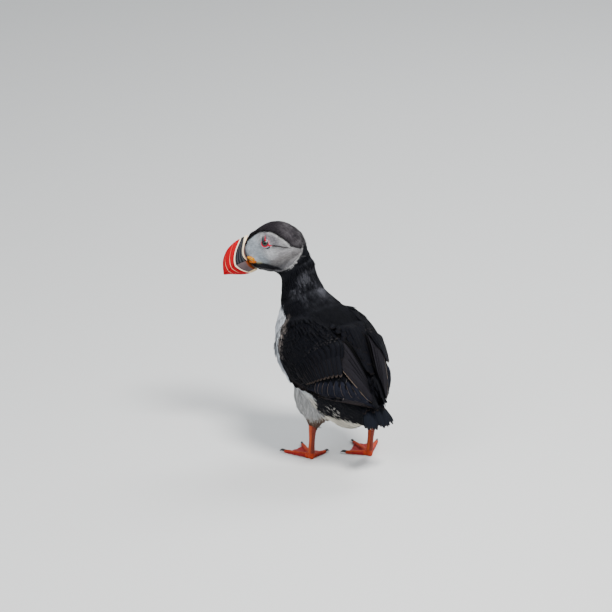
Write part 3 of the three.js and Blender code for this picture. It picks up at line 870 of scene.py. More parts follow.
def featherLook(n):
    along, across = n.layout("vane")
    offShaft = (across - 0.5).size()
    tone, fringe, streak = n.value("tone"), n.value("fringe"), n.value("streak")
    barbs = ((along * 6 + offShaft * 5 + tone * 3) * 12).sine()
    tip = n.step(along + offShaft * 0.3, 0.86, 1.02)
    colour = n.scaled(n.plumage(), 0.78 + tone * 0.36 + barbs * 0.05)
    colour = n.mix(tip * fringe * (0.3 + tone * 0.7), colour, srgb(140, 134, 132))
    pale = n.step(tone, 1 - streak * 0.5, 1.04 - streak * 0.5) * n.step(streak, 0.05, 0.2)
    return n.mix(pale * 0.75, colour, srgb(205, 202, 196)), barbs * 0.5 - offShaft, 0.00012


def growCoats(skin):
    tree = coatTree()
    inputs = {item.name: item.identifier for item in tree.interface.items_tree if item.in_out == "INPUT"}
    vanes = {form: vaneMesh(form, *plan) for form, plan in vaneForms.items()}
    look = newFinish("feather", featherLook, 0.6, 0.04)
    made = []
    for seed, (zone, (form, *sizes)) in enumerate(coats.items()):
        host = link("coat", skin.data)
        grow = host.modifiers.new("coat", "NODES")
        grow.node_group = tree
        values = {"Vane": vanes[form], "Zone": "zone_" + zone, "Seed": seed + 3, "Finish": look}
        values.update({key: size * coatUnits[key] for key, size in zip(coatUnits, sizes)})
        for key, value in values.items():
            grow[inputs[key]] = value
        piece = finished(host, zone + "_feathers")
        for name in [a.name for a in piece.data.attributes if a.name.startswith("zone_") or a.name == "lie"]:
            piece.data.attributes.remove(piece.data.attributes[name])
        made.append(piece)
        piece.data.calc_loop_triangles()
        print(f"{piece.name}: {len(piece.data.loop_triangles)} triangles")
    for vane in vanes.values():
        bpy.data.objects.remove(vane)
    return made


skin, hull = makeSkin()  # hull: the outside of the bird before its skin is sunk
skin.data.materials.append(newFinish("down", skinLook, 0.85, 0.05))
print("skin made,", len(skin.data.vertices), "points")
plumes = growCoats(skin)
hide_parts(*skinPlan["flesh"])
for piece in [skin] + plumes:
    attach(piece, "root")


# flight feathers: long vanes laid on the folded wing and the tail
wingGuides = (
    # the folded wing from shoulder to tip along its lower edge, middle and upper edge, left side
    [(37, -49, 108), (40, -35, 87), (41, -10, 78.5), (33, 17, 75), (16, 44, 71.5), (5, 62, 66)],
    [(34, -46, 122), (42, -24, 115), (42, -2, 105), (33, 20, 95), (15, 44, 82), (4, 64, 68.5)],
    [(22, -42, 136), (17, -20, 141), (13, 3, 131), (8, 24, 113), (4, 44, 91), (2.5, 63, 71)],
)
quills = {
    # (along, across) of the first and last root and tip on the wing, and mm of half width and of
    # height over the wing at the tip; across runs from the wing's lower edge, 0, to its upper edge, 1;
    # edge and tips: how pale the feather's edge and end are; bow: how far its shaft bends up
    "primary": {"count": 8, "root": ((0.40, 0.04), (0.54, 0.32)), "tip": ((0.99, 0.06), (0.88, 0.40)),
                "half": 3.2, "height": (0.0, 0.4), "edge": 0.22, "tint": "quill", "bow": 0.02},
    "secondary": {"count": 9, "root": ((0.56, 0.38), (0.76, 0.66)), "tip": ((0.56, 0.10), (0.90, 0.42)),
                  "half": 2.6, "height": (0.5, 0.9), "edge": 0.8, "tint": "quill", "bow": 0.02, "bend": 1.4},
    "tertial": {"count": 5, "root": ((0.46, 0.82), (0.44, 0.97)), "tip": ((0.925, 0.555), (0.80, 0.90)),
                "half": 5.2, "height": (1.6, 1.9), "edge": 0.06, "tint": "tertial", "bow": 0.05},
    "greater": {"count": 11, "root": ((0.36, 0.30), (0.50, 0.84)), "tip": ((0.49, 0.24), (0.67, 0.60)),
                "half": 3.4, "height": (0.8, 2.4), "edge": 0.1, "tint": "covert", "bow": 0.05, "tips": 0.14},
    "median": {"count": 12, "root": ((0.34, 0.36), (0.46, 0.94)), "tip": ((0.45, 0.30), (0.60, 0.80)),
               "half": 3.2, "height": (1.1, 2.2), "edge": 0.05, "tint": "back", "bow": 0.05, "tips": 0.03},
}
lowestTertial, lastTertialShadow = 1.2, "gap"  # the first one's bright edge, and the near-black painted shadow of the last one, for the crevice between the wings
rootDepth = {"wing": 1.2, "fan": 2.4}  # mm that a feather's root is sunk
surfaceGrid = {"wing": (41, 17), "fan": (25, 17)}  # points along and across
featherShape = {
    "steps": 14,
    "across": (-1, -0.55, -0.1, 0, 0.1, 0.55, 1),
    "below": (0.8, 0, -0.8),
    "thick": 0.35,
    "camber": 0.32,
    "shaft": 0.12,
    "narrow": 0.72,  # the outer vane's share of the inner one's width
    "cells": 7,  # the feathers' places on their map stand in this many rows
    "margin": 0.04,
}
tail = {
    # mm on the bird: the middle of the fan from root to end, and its half width there
    "line": [(0, 30, 77), (0, 44, 67.5), (0, 54, 56), (0, 60.5, 45)],
    "half": (8, 12.5, 16.5, 19),
    "arch": 2.5,
    "side": 0.45,  # how far the outer feathers lean
    # shade, count, first and last place along the fan, half width, height and spread of each row
    "rows": [("tail", 14, 0.12, 1.0, 3.1, 0.0, 1), ("back", 7, 0.0, 0.62, 3.4, 2.2, 1),
             # the two cream rows under the tail carry painted warm light reflected from below
             ("back", 6, -0.1, 0.42, 3.6, 3.2, 1), ("cream", 5, 0.0, 0.66, 3.8, -2.6, 0.6),
             ("cream", 4, -0.1, 0.48, 3.8, -3.6, 0.5)],
    "ragged": 0.13,
    "taper": 0.06,
    "peak": 0,
    "edge": 0.12,
    "seed": 12,
}
mantle = {
    # long shoulder feathers that close the back over the wings' upper edges
    "line": [(0, -12, 147), (0, 4, 142), (0, 16, 135), (0, 28, 121.5), (0, 38, 107.5), (0, 46, 95)],
    "half": (27, 22, 18, 15, 13, 11),
    "arch": 3.2,
    "side": 0.35,
    "rows": [("back", 10, 0.5, 1.0, 3.4, 0.5, 1), ("back", 10, 0.42, 0.87, 3.4, 0.8, 1),
             ("back", 10, 0.34, 0.74, 3.4, 1.0, 1), ("back", 10, 0.26, 0.61, 3.4, 1.1, 1)],
    "ragged": 0.04,
    "taper": 0.22,
    "peak": -0.3,  # the longest feathers lie this far to the bird's right
    "edge": 0.07,
    "seed": 5,
}


def wingSurface(sign):
    # the outside of a folded wing as grids of places and normals, read by (along, across)
    us, vs = (np.linspace(0, 1, count) for count in surfaceGrid["wing"])
    raw = np.array([[curveAt([curveAt(guide, u) for guide in wingGuides], v) for v in vs] for u in us])
    raw = raw * (sign, 1, 1) * mm + np.array(origin)
    normal = unit(np.cross(np.gradient(raw, axis=1), np.gradient(raw, axis=0)) * -sign)
    place = raw.copy()
    for i, j in np.ndindex(surfaceGrid["wing"]):
        start, way = Vector(raw[i, j]), Vector(normal[i, j])
        hit = hull.ray_cast(start + way * 0.012, -way, 0.03)[0]
        hit = hit if hit is not None else hull.find_nearest(start)[0]
        place[i, j] = hit - way * skinPlan["swell"] * mm
    for _ in range(2):  # even out steps at the wing's edges
        place[1:-1, 1:-1] = (place[1:-1, 1:-1] * 2 + place[:-2, 1:-1] + place[2:, 1:-1]
                             + place[1:-1, :-2] + place[1:-1, 2:]) / 6
    return lambda u, v: (gridAt(place, u, v), gridAt(normal, u, v))


def outline(t):
    base = 0.3 + 0.7 * min(t / 0.25, 1) ** 0.7
    tip = max(1 - (max(t - 0.66, 0) / 0.34) ** 2.4, 0) ** 0.5
    return base * tip


class Feathers:
    # gathers flight feathers into one mesh with the attributes that their finish reads
    def __init__(self):
        self.points, self.faces, self.looks, self.maps = [], [], [], {"vane": [], "OFBake": []}
        self.count = 0

    def lay(self, run, half, outer, edge, tips, shade, darkest, chance):
        # run(t): a place on the shaft and the way up there; outer: the side, 1 or -1, of the narrow
        # vane; edge and tips: how pale they are; darkest: the least share of the shade
        plan, first, tone = featherShape, len(self.points), chance.uniform(0, 1)
        look = (edge, tips, tone, *(c * (darkest + 0.3 * tone) for c in shades[shade][:3]))
        steps, cells = plan["steps"], plan["cells"]
        path, normals = (np.array(v) for v in zip(*(run(t) for t in np.linspace(0, 1, steps))))
        inset = plan["margin"] / cells
        room = 1 / cells - 2 * inset
        corner = self.count % cells / cells + inset, self.count // cells / cells + inset
        self.count += 1
        section = [(a, 1) for a in plan["across"]] + [(a, 0) for a in plan["below"]]
        for i, (p, way, n) in enumerate(zip(path, unit(np.gradient(path, axis=0)), normals)):
            t = i / (steps - 1)
            side = unit(np.cross(n, way))
            reach = half * outline(t * 0.985)
            for a, above in section:
                lean = plan["narrow"] if a * outer < 0 else 1
                rise = plan["camber"] * (1 - a * a) * reach / half
                rise += plan["shaft"] * (1 - t) * (1 if above and a == 0 else 0)
                rise -= plan["thick"] * (1 - above) * (0.3 + 0.7 * (1 - abs(a)))
                self.points.append(p + side * a * reach * lean * mm + n * rise * mm)
                v = 0.5 - 0.5 * a * outer
                self.maps["vane"].append((t, v))
                self.maps["OFBake"].append((corner[0] + t * room,
                                            corner[1] + (v * 0.45 + 0.5 * (1 - above)) * room))
                self.looks.append(look)
        self.faces += ringFaces(steps, len(section), first)

    def piece(self, name, finish):
        mesh = outward(meshOf(name, self.points, self.faces, self.maps))
        looks = np.array(self.looks)
        for i, key in enumerate(("fringe", "tips", "tone")):
            keep(mesh, key, looks[:, i])
        keep(mesh, "plumage", looks[:, 3:], "FLOAT_COLOR")
        mesh.materials.append(finish)
        return shown(mesh)


def foldWing(side, finish):
    sign, chance, made = sides[side], random.Random(7), Feathers()
    spot = wingSurface(sign)
    for kind, plan in quills.items():
        for i in range(plan["count"]):
            share = i / (plan["count"] - 1)
            root, tip = between(*plan["root"], share), between(*plan["tip"], share ** plan.get("bend", 1))
            height = between(*plan["height"], share)
            edge, tint = plan["edge"], plan["tint"]
            if kind == "tertial":
                edge = lowestTertial if i == 0 else edge
                # the last tertial takes the near-black painted shadow of the crevice between the wings
                tint = lastTertialShadow if share > 0.8 else tint

            def run(t):
                u, v = between(root, tip, t)
                place, normal = spot(u, v + sin(pi * t) * plan["bow"])
                return place + normal * between(-rootDepth["wing"], height, ease(t, 0, 0.45)) * mm, normal
            made.lay(run, plan["half"], sign, edge, plan.get("tips", 0), tint, 0.9, chance)
    return made.piece("wing_quills_" + side, finish)


def fanSpot(plan, t, w, lift=0.0):
    # the place t along the fan and w across it, -1 to 1, and the way up there
    line = plan["line"]
    upward = np.cross((1, 0, 0), unit(curveAt(line, min(t + 0.02, 1)) - curveAt(line, max(t - 0.02, 0))))
    upward = upward if upward[2] > 0 else -upward
    height = plan["arch"] * (1 - w * w) + lift
    if "ground" in plan:
        height += gridAt(plan["ground"], t, (w + 1) / 2)
    place = curveAt(line, t) + (w * curveAt(plan["half"], t), 0, 0) + upward * height
    return place * mm + np.array(origin), unit(np.array((w * plan["side"], 0, 0)) + upward)


def settle(plan):
    # fits a fan to the bird below it, bridging the hollow between the wings
    rows, columns = surfaceGrid["fan"]
    ground = np.zeros((rows, columns))
    for i, j in np.ndindex(rows, columns):
        place, lean = fanSpot(plan, i / (rows - 1), 2 * j / (columns - 1) - 1)
        reach = hull.ray_cast(Vector(place + lean * 0.015), Vector(-lean), 0.03)[3]
        ground[i, j] = 15 - reach / mm if reach is not None else -3
    for _ in range(8):
        around = ground.copy()
        around[1:-1, 1:-1] = (ground[:-2, 1:-1] + ground[2:, 1:-1]
                              + ground[1:-1, :-2] + ground[1:-1, 2:]) / 4
        ground = np.maximum(ground, around)
    plan["ground"] = ground


def layFan(name, plan, finish):
    chance, made = random.Random(plan["seed"]), Feathers()
    for shade, count, begin, end, half, lift, spread in plan["rows"]:
        order = sorted(range(count), key=lambda i: -abs(i - (count - 1) / 2))
        for layer, i in enumerate(order):
            w = 2 * i / (count - 1) - 1
            stop = end - chance.uniform(0, plan["ragged"]) - plan["taper"] * abs(w - plan["peak"]) ** 1.5

            def run(share):
                rise = lift + layer * 0.12 * (1 if lift >= 0 else -1)
                if "ground" in plan:
                    rise = between(-rootDepth["fan"], rise, ease(share, 0, 0.5))
                    rise *= 1 - 0.8 * ease(share, 0.6, 1) * (w < -0.4)
                t = max(between(begin, stop, share), 0)
                return fanSpot(plan, t, w * spread * (0.45 + 0.5 * share), rise)
            made.lay(run, half, -1 if w > 0 else 1, plan["edge"], plan["edge"] * 0.3, shade, 0.85, chance)
    return made.piece(name, finish)


def quillLook(n):
    along, across = n.layout("vane")
    tone = n.value("tone")
    offShaft = (across - 0.5).size()
    barbs = ((along * 9 - offShaft * 3 + tone * 5) * 40).sine()
    edge = n.step(across, 0.885, 0.97) * n.step(along, 0.1, 0.35)
    tip = n.step(along + offShaft * 0.1, 0.955, 0.985) * n.value("tips")
    worn = n.noise(420, 2)
    shaft = n.band(across, 0.5, 0.02, 0.02)
    colour = n.scaled(n.plumage(), 0.85 + barbs * 0.06 + worn * 0.3)
    colour = n.mix(shaft * 0.5, colour, srgb(30, 26, 24))
    pale = (edge * n.value("fringe") + tip) * (0.45 + worn * 0.7)
    return n.mix(pale, colour, srgb(176, 154, 138)), barbs * 0.25 + shaft, 0.00015


quillFinish = newFinish("quill", quillLook, 0.55, 0.03)
wings = [foldWing(side, quillFinish) for side in sides]
settle(mantle)
tailPiece = layFan("tail_feathers", tail, quillFinish)
mantlePiece = layFan("mantle_feathers", mantle, quillFinish)
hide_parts("tail")
print("flight feathers laid")


bill = {
    # (ahead, up) on the head, from the face to the tip
    "culmen": [(27, 22.9), (34, 22.6), (43.5, 20.4), (52.5, 15.5), (59.7, 7), (64, -4.6)],
    "gape": [(35.5, 2.3), (48, 1.2), (53.5, -0.3), (57.5, -2), (61, -3.6), (64, -5.2)],
    "keel": [(31.5, -12), (38, -12.8), (45, -12), (51.5, -9.8), (57.5, -7.2), (62.8, -5.6)],
    "half": [7.6, 6.9, 5.6, 4.2, 2.7, 1.0],
    "bow": [4.2, 3.1, 2.8, 2, 1, 0],  # how far each band bows forward
    "groove": (0.38, 0.60),
    "grooveDepth": 0.32,
    "line": 0.212,  # the raised cream line between the slate base and the red
    "gap": 0.3,
    "rings": 64,
    # the cream pad at the base: its front edge from the bill's top to the mouth, and from rear to
    # front how far it stands out and how far back it sits, mm
    "padFront": [0.11, 0.047, 0.036, 0.03, 0.012],
    "padSwell": [0.1, 0.6, 0.9, 1.1, 1.2, 1.2, 1.1, 0.95, 0.75, 0.45, 0.1],
    "padBack": [0.5, 0.4, 0.2, 0, 0, 0, 0, 0, 0, 0, 0],
}
ringSteps = 22


def billRing(outer, upper, bandAt, swell=0.0, back=0.0):
    # one band of the bill from its outer edge, v 0, to the mouth, v 1; bandAt(v) is its place along
    ring, lay = [], []
    sign = 1 if upper else -1
    for i in range(ringSteps + 1):
        v = i / ringSteps
        s = max(bandAt(v), 0)
        edge, mouth = curveAt(bill[outer], s), curveAt(bill["gape"], s) + (0, bill["gap"] / 2 * sign)
        width, bow = curveAt(bill["half"], s), curveAt(bill["bow"], s)
        carve = sum(exp(-(((s - g) / 0.016) ** 2)) for g in bill["groove"]) * bill["grooveDepth"]
        carve -= exp(-(((s - bill["line"]) / 0.013) ** 2)) * 0.35
        carve *= 0 if swell else ease(v, 0.03, 0.12) * min(width / 3, 1)
        half = (width + swell) * (0.16 + 0.84 * sin(v * pi / 2) ** 0.75)
        half = max(half - carve, 0.15) if i else 0
        crest = 0.45 * (1 - min(v / 0.06, 1)) * sign + (swell * 0.2 * sign if v < 0.02 else 0)
        f, k = edge + (mouth - edge) * v
        ring.append((f + bow * 4 * v * (1 - v) * (1 if upper else 0.4) - back, k + crest, half))
        lay.append((bandAt(v), v))
    full = ring + [(f, k, -out) for f, k, out in reversed(ring[1:])]
    return [headAt(*p) for p in full], lay + lay[:0:-1]


def hornPiece(name, outer, upper, bands):
    rings, lays = zip(*(billRing(outer, upper, *band) for band in bands))
    return shown(tube(name, rings, layout=[place for lay in lays for place in lay]))


def straight(s):
    return lambda v: s


def padBand(share):
    # the pad spreads forward at the bill's top to meet the cream line, and narrows to the mouth
    return lambda v: -0.02 + (curveAt(bill["padFront"], v) + 0.02) * share


def hornLook(upper):
    # slate or mauve at the base, a cream line, then red crossed by two pale grooves, each with a dark red
    # band of painted shade on its base side
    def build(n):
        s, v = n.layout("lay")
        soft, fine = n.noise(160, 3), n.noise(900, 2)
        edge = s + (soft - 0.5) * 0.008
        if upper:
            stripes = n.step((s * 136 + soft * 2).sine(), -0.2, 0.9)
            base = n.mix(stripes * 0.55, srgb(30, 33, 38), srgb(80, 79, 84))
        else:
            base = n.mix(soft, srgb(72, 62, 65), srgb(106, 90, 92))
            base = n.mix(n.step(edge, 0.045, 0.02), base, srgb(132, 62, 26))
            base = n.mix(n.step(v, 0.2, 0.13), base, srgb(236, 206, 160))
        red = n.mix(soft, (0.36, 0.0, 0.006, 1), (0.5, 0.0, 0.01, 1))
        line, low = bill["line"], n.step(v, 0.25, 0.85)
        colour = n.mix(n.step(edge, line - 0.022, line - 0.012), base, srgb(250, 234, 204))
        colour = n.mix(n.step(edge, line + 0.014, line + 0.024), colour, red)
        dark = n.band(edge, line + 0.04, 0.016, 0.014) * 0.75 * n.step(v, 0.3, 0.75)
        colour = n.mix(dark, colour, (0.16, 0.001, 0.002, 1))
        for g in bill["groove"]:
            # on the base side of each pale groove a dark red band is painted shade in the groove, stronger
            # towards the mouth
            dark = n.band(edge, g - 0.02, 0.012, 0.016) * (0.2 + low * 0.6)
            pale = n.band(edge, g + 0.006, 0.012, 0.01) * (0.12 + low * 0.7)
            colour = n.mix(dark, colour, (0.18, 0.001, 0.003, 1))
            colour = n.mix(pale, colour, srgb(255, 196, 160))
        colour = n.mix(n.step(s, 0.88, 1.0) * 0.4, colour, srgb(240, 104, 50))
        return colour, fine * 0.4 + soft * 0.6, 0.0003
    return build


def padLook(n):
    s, v = n.layout("lay")
    pits = n.cells("F1", 1300.0)
    edge = s + (n.noise(300, 2) - 0.5) * 0.008
    colour = n.mix(n.step(edge, -0.004, -0.008), srgb(250, 232, 196), srgb(214, 130, 60))
    # the pad's rear flank, in the gap by the face feathers, is painted dark grey as shade
    colour = n.mix(n.step(edge, -0.01, -0.014), colour, srgb(92, 84, 88))
    hatch = n.step((v * 120 + s * 90).sine(), 0.3, 0.9) * n.step(s, 0.035, 0.01)
    colour = n.mix(hatch * 0.35, colour, srgb(160, 84, 30))
    colour = n.mix(n.step(pits, 0.28, 0.12) * 0.4, colour, srgb(150, 108, 66))
    return colour, pits - hatch * 0.5, 0.0002


bands = [i / bill["rings"] for i in range(bill["rings"] + 1)]
padBands = [(padBand(i / 10), *place) for i, place in enumerate(zip(bill["padSwell"], bill["padBack"]))]
upperBill = hornPiece("upper_bill", "culmen", True, [(straight(0.01 + 0.99 * s),) for s in bands])
lowerBill = hornPiece("lower_bill", "keel", False, [(straight(0.985 * s),) for s in bands])
billRidge = hornPiece("bill_ridge_pad", "culmen", True, padBands)
for made, node, finish in ((upperBill, "bill_upper", newFinish("bill_horn", hornLook(True), 0.38, 0.05)),
                           (lowerBill, "bill_lower", newFinish("lower_horn", hornLook(False), 0.38, 0.05)),
                           (billRidge, "bill_ridge", newFinish("bill_ridge", padLook, 0.6, 0.08))):
    made.data.materials.append(finish)
    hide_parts(node)
print("bill made")


# eyes with their ring and horny plates, and the folded skin at the corners of the mouth
eyePlan = {
    "tilt": 20,  # degrees that each eye looks up from straight out
    "bulge": 0.2,  # mm that the clear front stands over the iris
    "opening": 3.4,  # mm, radius of the red ring's middle line
    "rise": 3.8,  # mm from the eye's centre to the ring's plane
    "ring": (0.46, 0.36),  # mm across and high
    "pupil": 13,  # degrees from the eye's axis
    # the bare lid as (mm from the axis, mm along it), from the ring out under the feathers and back
    "lid": [(3.0, 4.0), (3.6, 3.95), (4.3, 3.5), (5.1, 2.8), (4.9, 2.2), (4.1, 3.0), (3.3, 3.5), (3.0, 4.0)],
    # the red skin beside the ring, above and behind: (ahead and up of the eye, mm over the face), radii
    "above": ([(-1.4, 3.5, 0.3), (-2.1, 5.6, 0.4), (-2.9, 8.2, 0.3)], [0.75, 0.5, 0.08]),
    "behind": ([(-2.8, -1.2, 0.1), (-4.1, -2.0, 0.2), (-5.8, -2.8, 0.1)], [1.0, 0.7, 0.15]),
    # the plates over and under the eye, with how flat they are; under it the third number of a stop
    # is mm out from the head's middle
    "brow": ([(1.0, 4.0, 0.35), (0.3, 6.0, 0.35), (-0.8, 8.6, 0.35)], [1.4, 0.9, 0.1], 0.5),
    "cheek": ([(-5.6, -3.3, 15.3), (-2.0, -4.2, 15.6), (1.8, -3.8, 15.3)], [0.25, 0.9, 0.3], 0.6),
    "crease": [0.38, 0.34, 0.3, 0.26, 0.05],
}
rosette = {
    # the two folded lobes at the mouth's corner: centre on the head, the way they run (ahead, up),
    # and half sizes along, across and out
    "upper": ((31.2, 2.8, 8.6), (0.71, 0.7), (4.2, 1.9, 2.0)),
    "lower": ((31.0, -0.6, 8.5), (0.91, 0.41), (3.8, 1.6, 1.8)),
}


def circle(count):
    return [2 * pi * j / count for j in range(count)]


def roundEye(side, turns, section):
    # rings of points round an eye's axis; section(a) gives (mm from the axis, mm along it) at a turn
    sign, lean = sides[side], radians(eyePlan["tilt"])
    axis = outLeft * sign * cos(lean) + headUp * sin(lean)
    upward = headUp * cos(lean) - outLeft * sign * sin(lean)
    centre = headAt(eyeF, eyeK, eyeOut * sign)
    return [[centre + ((upward * cos(a) + ahead * sin(a)) * reach + axis * rise) * mm
             for reach, rise in section(a)] for a in turns]


def closedRound(name, rings):
    # rings that meet their first one again
    count, rows = len(rings[0]), len(rings)
    points = [p for ring in rings for p in ring]
    faces = [tuple(j % len(points) for j in face) for face in ringFaces(rows + 1, count, ends=False)]
    return shown(outward(meshOf(name, points, faces)))


def eyeball(side):
    def section(a):
        rows = []
        for i in range(33):
            angle = pi * (i + 0.02) / 32.04
            reach = head["eyeRadius"] + eyePlan["bulge"] * ease(-angle, -0.55, -0.2)
            rows.append((reach * sin(angle), reach * cos(angle)))
        return rows
    return shown(tube("eyeball_" + side, list(zip(*roundEye(side, circle(40), section)))))


def eyeRing(side):
    wide, high = eyePlan["ring"]

    def section(a):
        # flatter above, drawn to a point behind as lids are, and thickest below and in front
        corner = max(-sin(a), 0) ** 8
        reach = eyePlan["opening"] * (1 - 0.04 * max(cos(a), 0)) + 0.7 * corner
        knob = 1 + 0.09 * sin(a * 17) + 0.12 * sin(a * 5 + 1) + 0.28 * cos(a - 2.5) + 0.5 * corner
        knob *= 1 - 0.6 * max(cos(a + 0.7), 0) ** 2
        rise = eyePlan["rise"] + 0.1 * sin(a * 2)
        return [(reach + cos(b) * wide * knob, rise + sin(b) * high * knob) for b in circle(10)]
    return closedRound("eye_ring_" + side, roundEye(side, circle(72), section))


def eyelid(side):
    # the bare skin round the eye, folded in low rings
    lid = [curveAt(eyePlan["lid"], j / 20) for j in range(20)]

    def section(a):
        wave = 0.05 * sin(a * 11) + 0.04 * sin(a * 4 + 2)
        return [(reach, rise + wave * (reach > 3.2)) for reach, rise in lid]
    return closedRound("eyelid_" + side, roundEye(side, circle(96), section))


def alongRod(name, places, radii, turns=16, steps=24, flat=1.0, shape=None, facing=None):
    # a tapering rod through points; flat squeezes it towards facing, and shape(t, angle) swells it
    rings = []
    for i in range(steps + 1):
        t = i / steps
        way = Vector(curveAt(places, min(t + 0.01, 1)) - curveAt(places, max(t - 0.01, 0))).normalized()
        deep = (facing - way * facing.dot(way)).normalized() if facing else way.orthogonal().normalized()
        side, middle, size = way.cross(deep), Vector(curveAt(places, t)), curveAt(radii, t) * mm
        rings.append([middle + (side * cos(a) + deep * sin(a) * flat) * size * (shape(t, a) if shape else 1)
                      for a in circle(turns)])
    return tube(name, rings)


def onFace(f, k, over, sign):
    # the point of the head's side at (ahead, up), this many mm over it
    outer = outLeft * sign
    return hull.ray_cast(headAt(f, k, 30 * sign), -outer, 0.03)[0] + outer * over * mm


def besideEye(side, stops):
    return [onFace(eyeF + f, eyeK + k, over, sides[side]) for f, k, over in stops]


def redSkin(side):
    rods = [alongRod("rod", besideEye(side, stops), radii, 10, 12)
            for stops, radii in (eyePlan["above"], eyePlan["behind"])]
    return shown(joined("eye_corner_" + side, rods))


def creaseLine(side):
    # the dark parting of the feathers that runs back from the eye
    path = [onFace(*curveAt(marks["furrow"], share), -0.15, sides[side]) for share in np.linspace(0, 1, 24)]
    return shown(alongRod("eye_crease_" + side, path, eyePlan["crease"], 8, 60))


def plate(side, kind):
    # a horny plate by the eye, low and a little wavy
    stops, radii, flat = eyePlan[kind]
    if kind == "brow":
        places = besideEye(side, stops)
    else:
        places = [headAt(eyeF + f, eyeK + k, out * sides[side]) for f, k, out in stops]
    facing = (outLeft * sides[side] + headUp * 0.35).normalized()
    return shown(alongRod(f"{kind}_plate_{side}", places, radii, flat=flat, facing=facing,
                          shape=lambda t, a: 1 + 0.07 * sin(t * 26) * sin(a)))


def rosettePiece(side):
    count, rows = 36, 29
    points, faces, lobes, creases = [], [], [], []
    for lobe, ((f, k, out), (forward, upward), half) in rosette.items():
        centre = headAt(f, k, out * sides[side])
        along = (ahead * forward + headUp * upward).normalized()
        over = along.cross(outLeft)
        over = over if over.dot(headUp) > 0 else -over
        inner = -1 if lobe == "upper" else 1  # the side that meets the other lobe
        faces += ringFaces(rows, count, len(points))
        for i in range(rows):
            angle = pi * (i + 0.05) / (rows - 0.9)
            for a in circle(count):
                x, y, z = cos(angle), sin(angle) * cos(a), sin(angle) * sin(a)
                fold = 0.12 * cos(9 * x + 2.5 * y + inner) * (1 - abs(x)) ** 0.5
                reach = (1 - fold * (0.35 + 0.65 * abs(z))) * (1 + 0.2 * max(-x, 0))
                points.append(centre + (along * x * half[0] + over * y * half[1] * reach
                                        + outLeft * z * half[2] * reach) * mm)
                lobes.append(lobe == "lower")
                creases.append(ease(y * inner, 0.35, 0.9))
    mesh = outward(meshOf("gape_rosette_" + side, points, faces))
    keep(mesh, "lobe", np.array(lobes))
    keep(mesh, "crease", np.array(creases))
    return shown(mesh)


def eyeLook(n):
    angle, _ = n.layout("lay")
    degrees = angle * 180
    colour = n.mix(n.noise(1400, 3), srgb(28, 40, 37), srgb(58, 70, 64))
    colour = n.mix(n.step(degrees, 25, 34), colour, srgb(12, 12, 12))
    pupil = n.step(degrees, eyePlan["pupil"] + 1.5, eyePlan["pupil"] - 1)
    return n.mix(pupil, colour, (0.001, 0.001, 0.001, 1)),


def mottled(scale, detail, first, second, depth, fine=None):
    # one colour clouded into another; fine is the scale of a finer bump
    def build(n):
        soft = n.noise(scale, detail)
        return n.mix(soft, first, second), n.noise(fine, 2) if fine else soft, depth
    return build


def clawLook(n):
    t, _ = n.layout("lay")
    soft = n.noise(500, 3)
    colour = n.mix(soft, srgb(14, 13, 14), srgb(44, 38, 36))
    return n.mix(n.step(t, 0.9, 1.0) * 0.4, colour, srgb(96, 84, 74)), soft, 0.0002


def rosetteLook(n):
    soft, fine = n.noise(300, 3), n.noise(1500, 2)
    upper = n.mix(soft, (0.3, 0.105, 0.0, 1), (0.56, 0.235, 0.0, 1))
    lower = n.mix(soft, (0.26, 0.055, 0.0, 1), (0.46, 0.11, 0.0, 1))
    colour = n.mix(n.value("crease") * 0.8, n.mix(n.value("lobe"), upper, lower), srgb(96, 36, 8))
    return colour, fine * 0.4 + soft, 0.0004


redLook = mottled(700, 2, (0.36, 0.0, 0.02, 1), (0.5, 0.0, 0.03, 1), 0.0003)
lidLook = mottled(500, 2, srgb(128, 132, 140), srgb(176, 178, 184), 0.0002, 2400)
plateLook = mottled(600, 3, srgb(20, 25, 29), srgb(44, 50, 58), 0.0003)
eyeFinish = newFinish("eye", eyeLook, 0.12, 0.25)
ringFinish = newFinish("eye_ring", redLook, 0.5, 0.06)
lidFinish = newFinish("eyelid", lidLook, 0.6, 0.2)
creaseFinish = newFinish("eye_crease", clawLook, 0.8, 0.0)
plateFinish = newFinish("eye_plate", plateLook, 0.5, 0.25)
rosetteFinish = newFinish("gape_skin", rosetteLook, 0.42, 0.15,
                          **{"Subsurface Weight": 0.05, "Subsurface Scale": 0.001})
faceParts = []
for side in sides:
    brow, cheek = plate(side, "brow"), plate(side, "cheek")
    for made, finish, node in ((eyeball(side), eyeFinish, "eye"), (eyeRing(side), ringFinish, None),
                               (eyelid(side), lidFinish, None), (redSkin(side), ringFinish, None),
                               (creaseLine(side), creaseFinish, None), (brow, plateFinish, "brow_plate"),
                               (cheek, plateFinish, "cheek_plate"),
                               (rosettePiece(side), rosetteFinish, "rosette")):
        made.data.materials.append(finish)
        if node:
            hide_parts(f"{node}_{side}")
        faceParts.append(made)
print("eyes and mouth corners made")


# legs, webbed feet and claws
legs = {
    # mm on the bird; toes: heading in degrees to the bird's left of straight ahead, length, claw, joints
    "left": {"heel": (24, -14.8, 0), "ankle": (26, -10, 33),
             "toes": {"outer": (19, 29, 5, 4), "middle": (-26, 33, 6, 3), "inner": (-84, 19, 5, 2)}},
    "right": {"heel": (-24, 14.8, 0), "ankle": (-23, 20, 33),
              "toes": {"outer": (-53, 33, 5, 4), "middle": (-15, 34, 6, 3), "inner": (39, 22, 5, 2)}},
    "shin": (3.3, 2.9, 4.2),
    "scutes": 17,
    "web": 1.1,
    "voxel": 0.42,
    "soften": 3,
}
upright = Vector((0, 0, 1))


def toeWay(angle):
    return Vector((sin(radians(angle)), -cos(radians(angle)), 0))


def legRod(name, start, stops, radii, *form):
    # a rod through stops given as (a way and how far along it, mm above start's level)
    places = [onBird(start + way * run + upright * rise) for way, run, rise in stops]
    return alongRod(name, places, radii, *form)


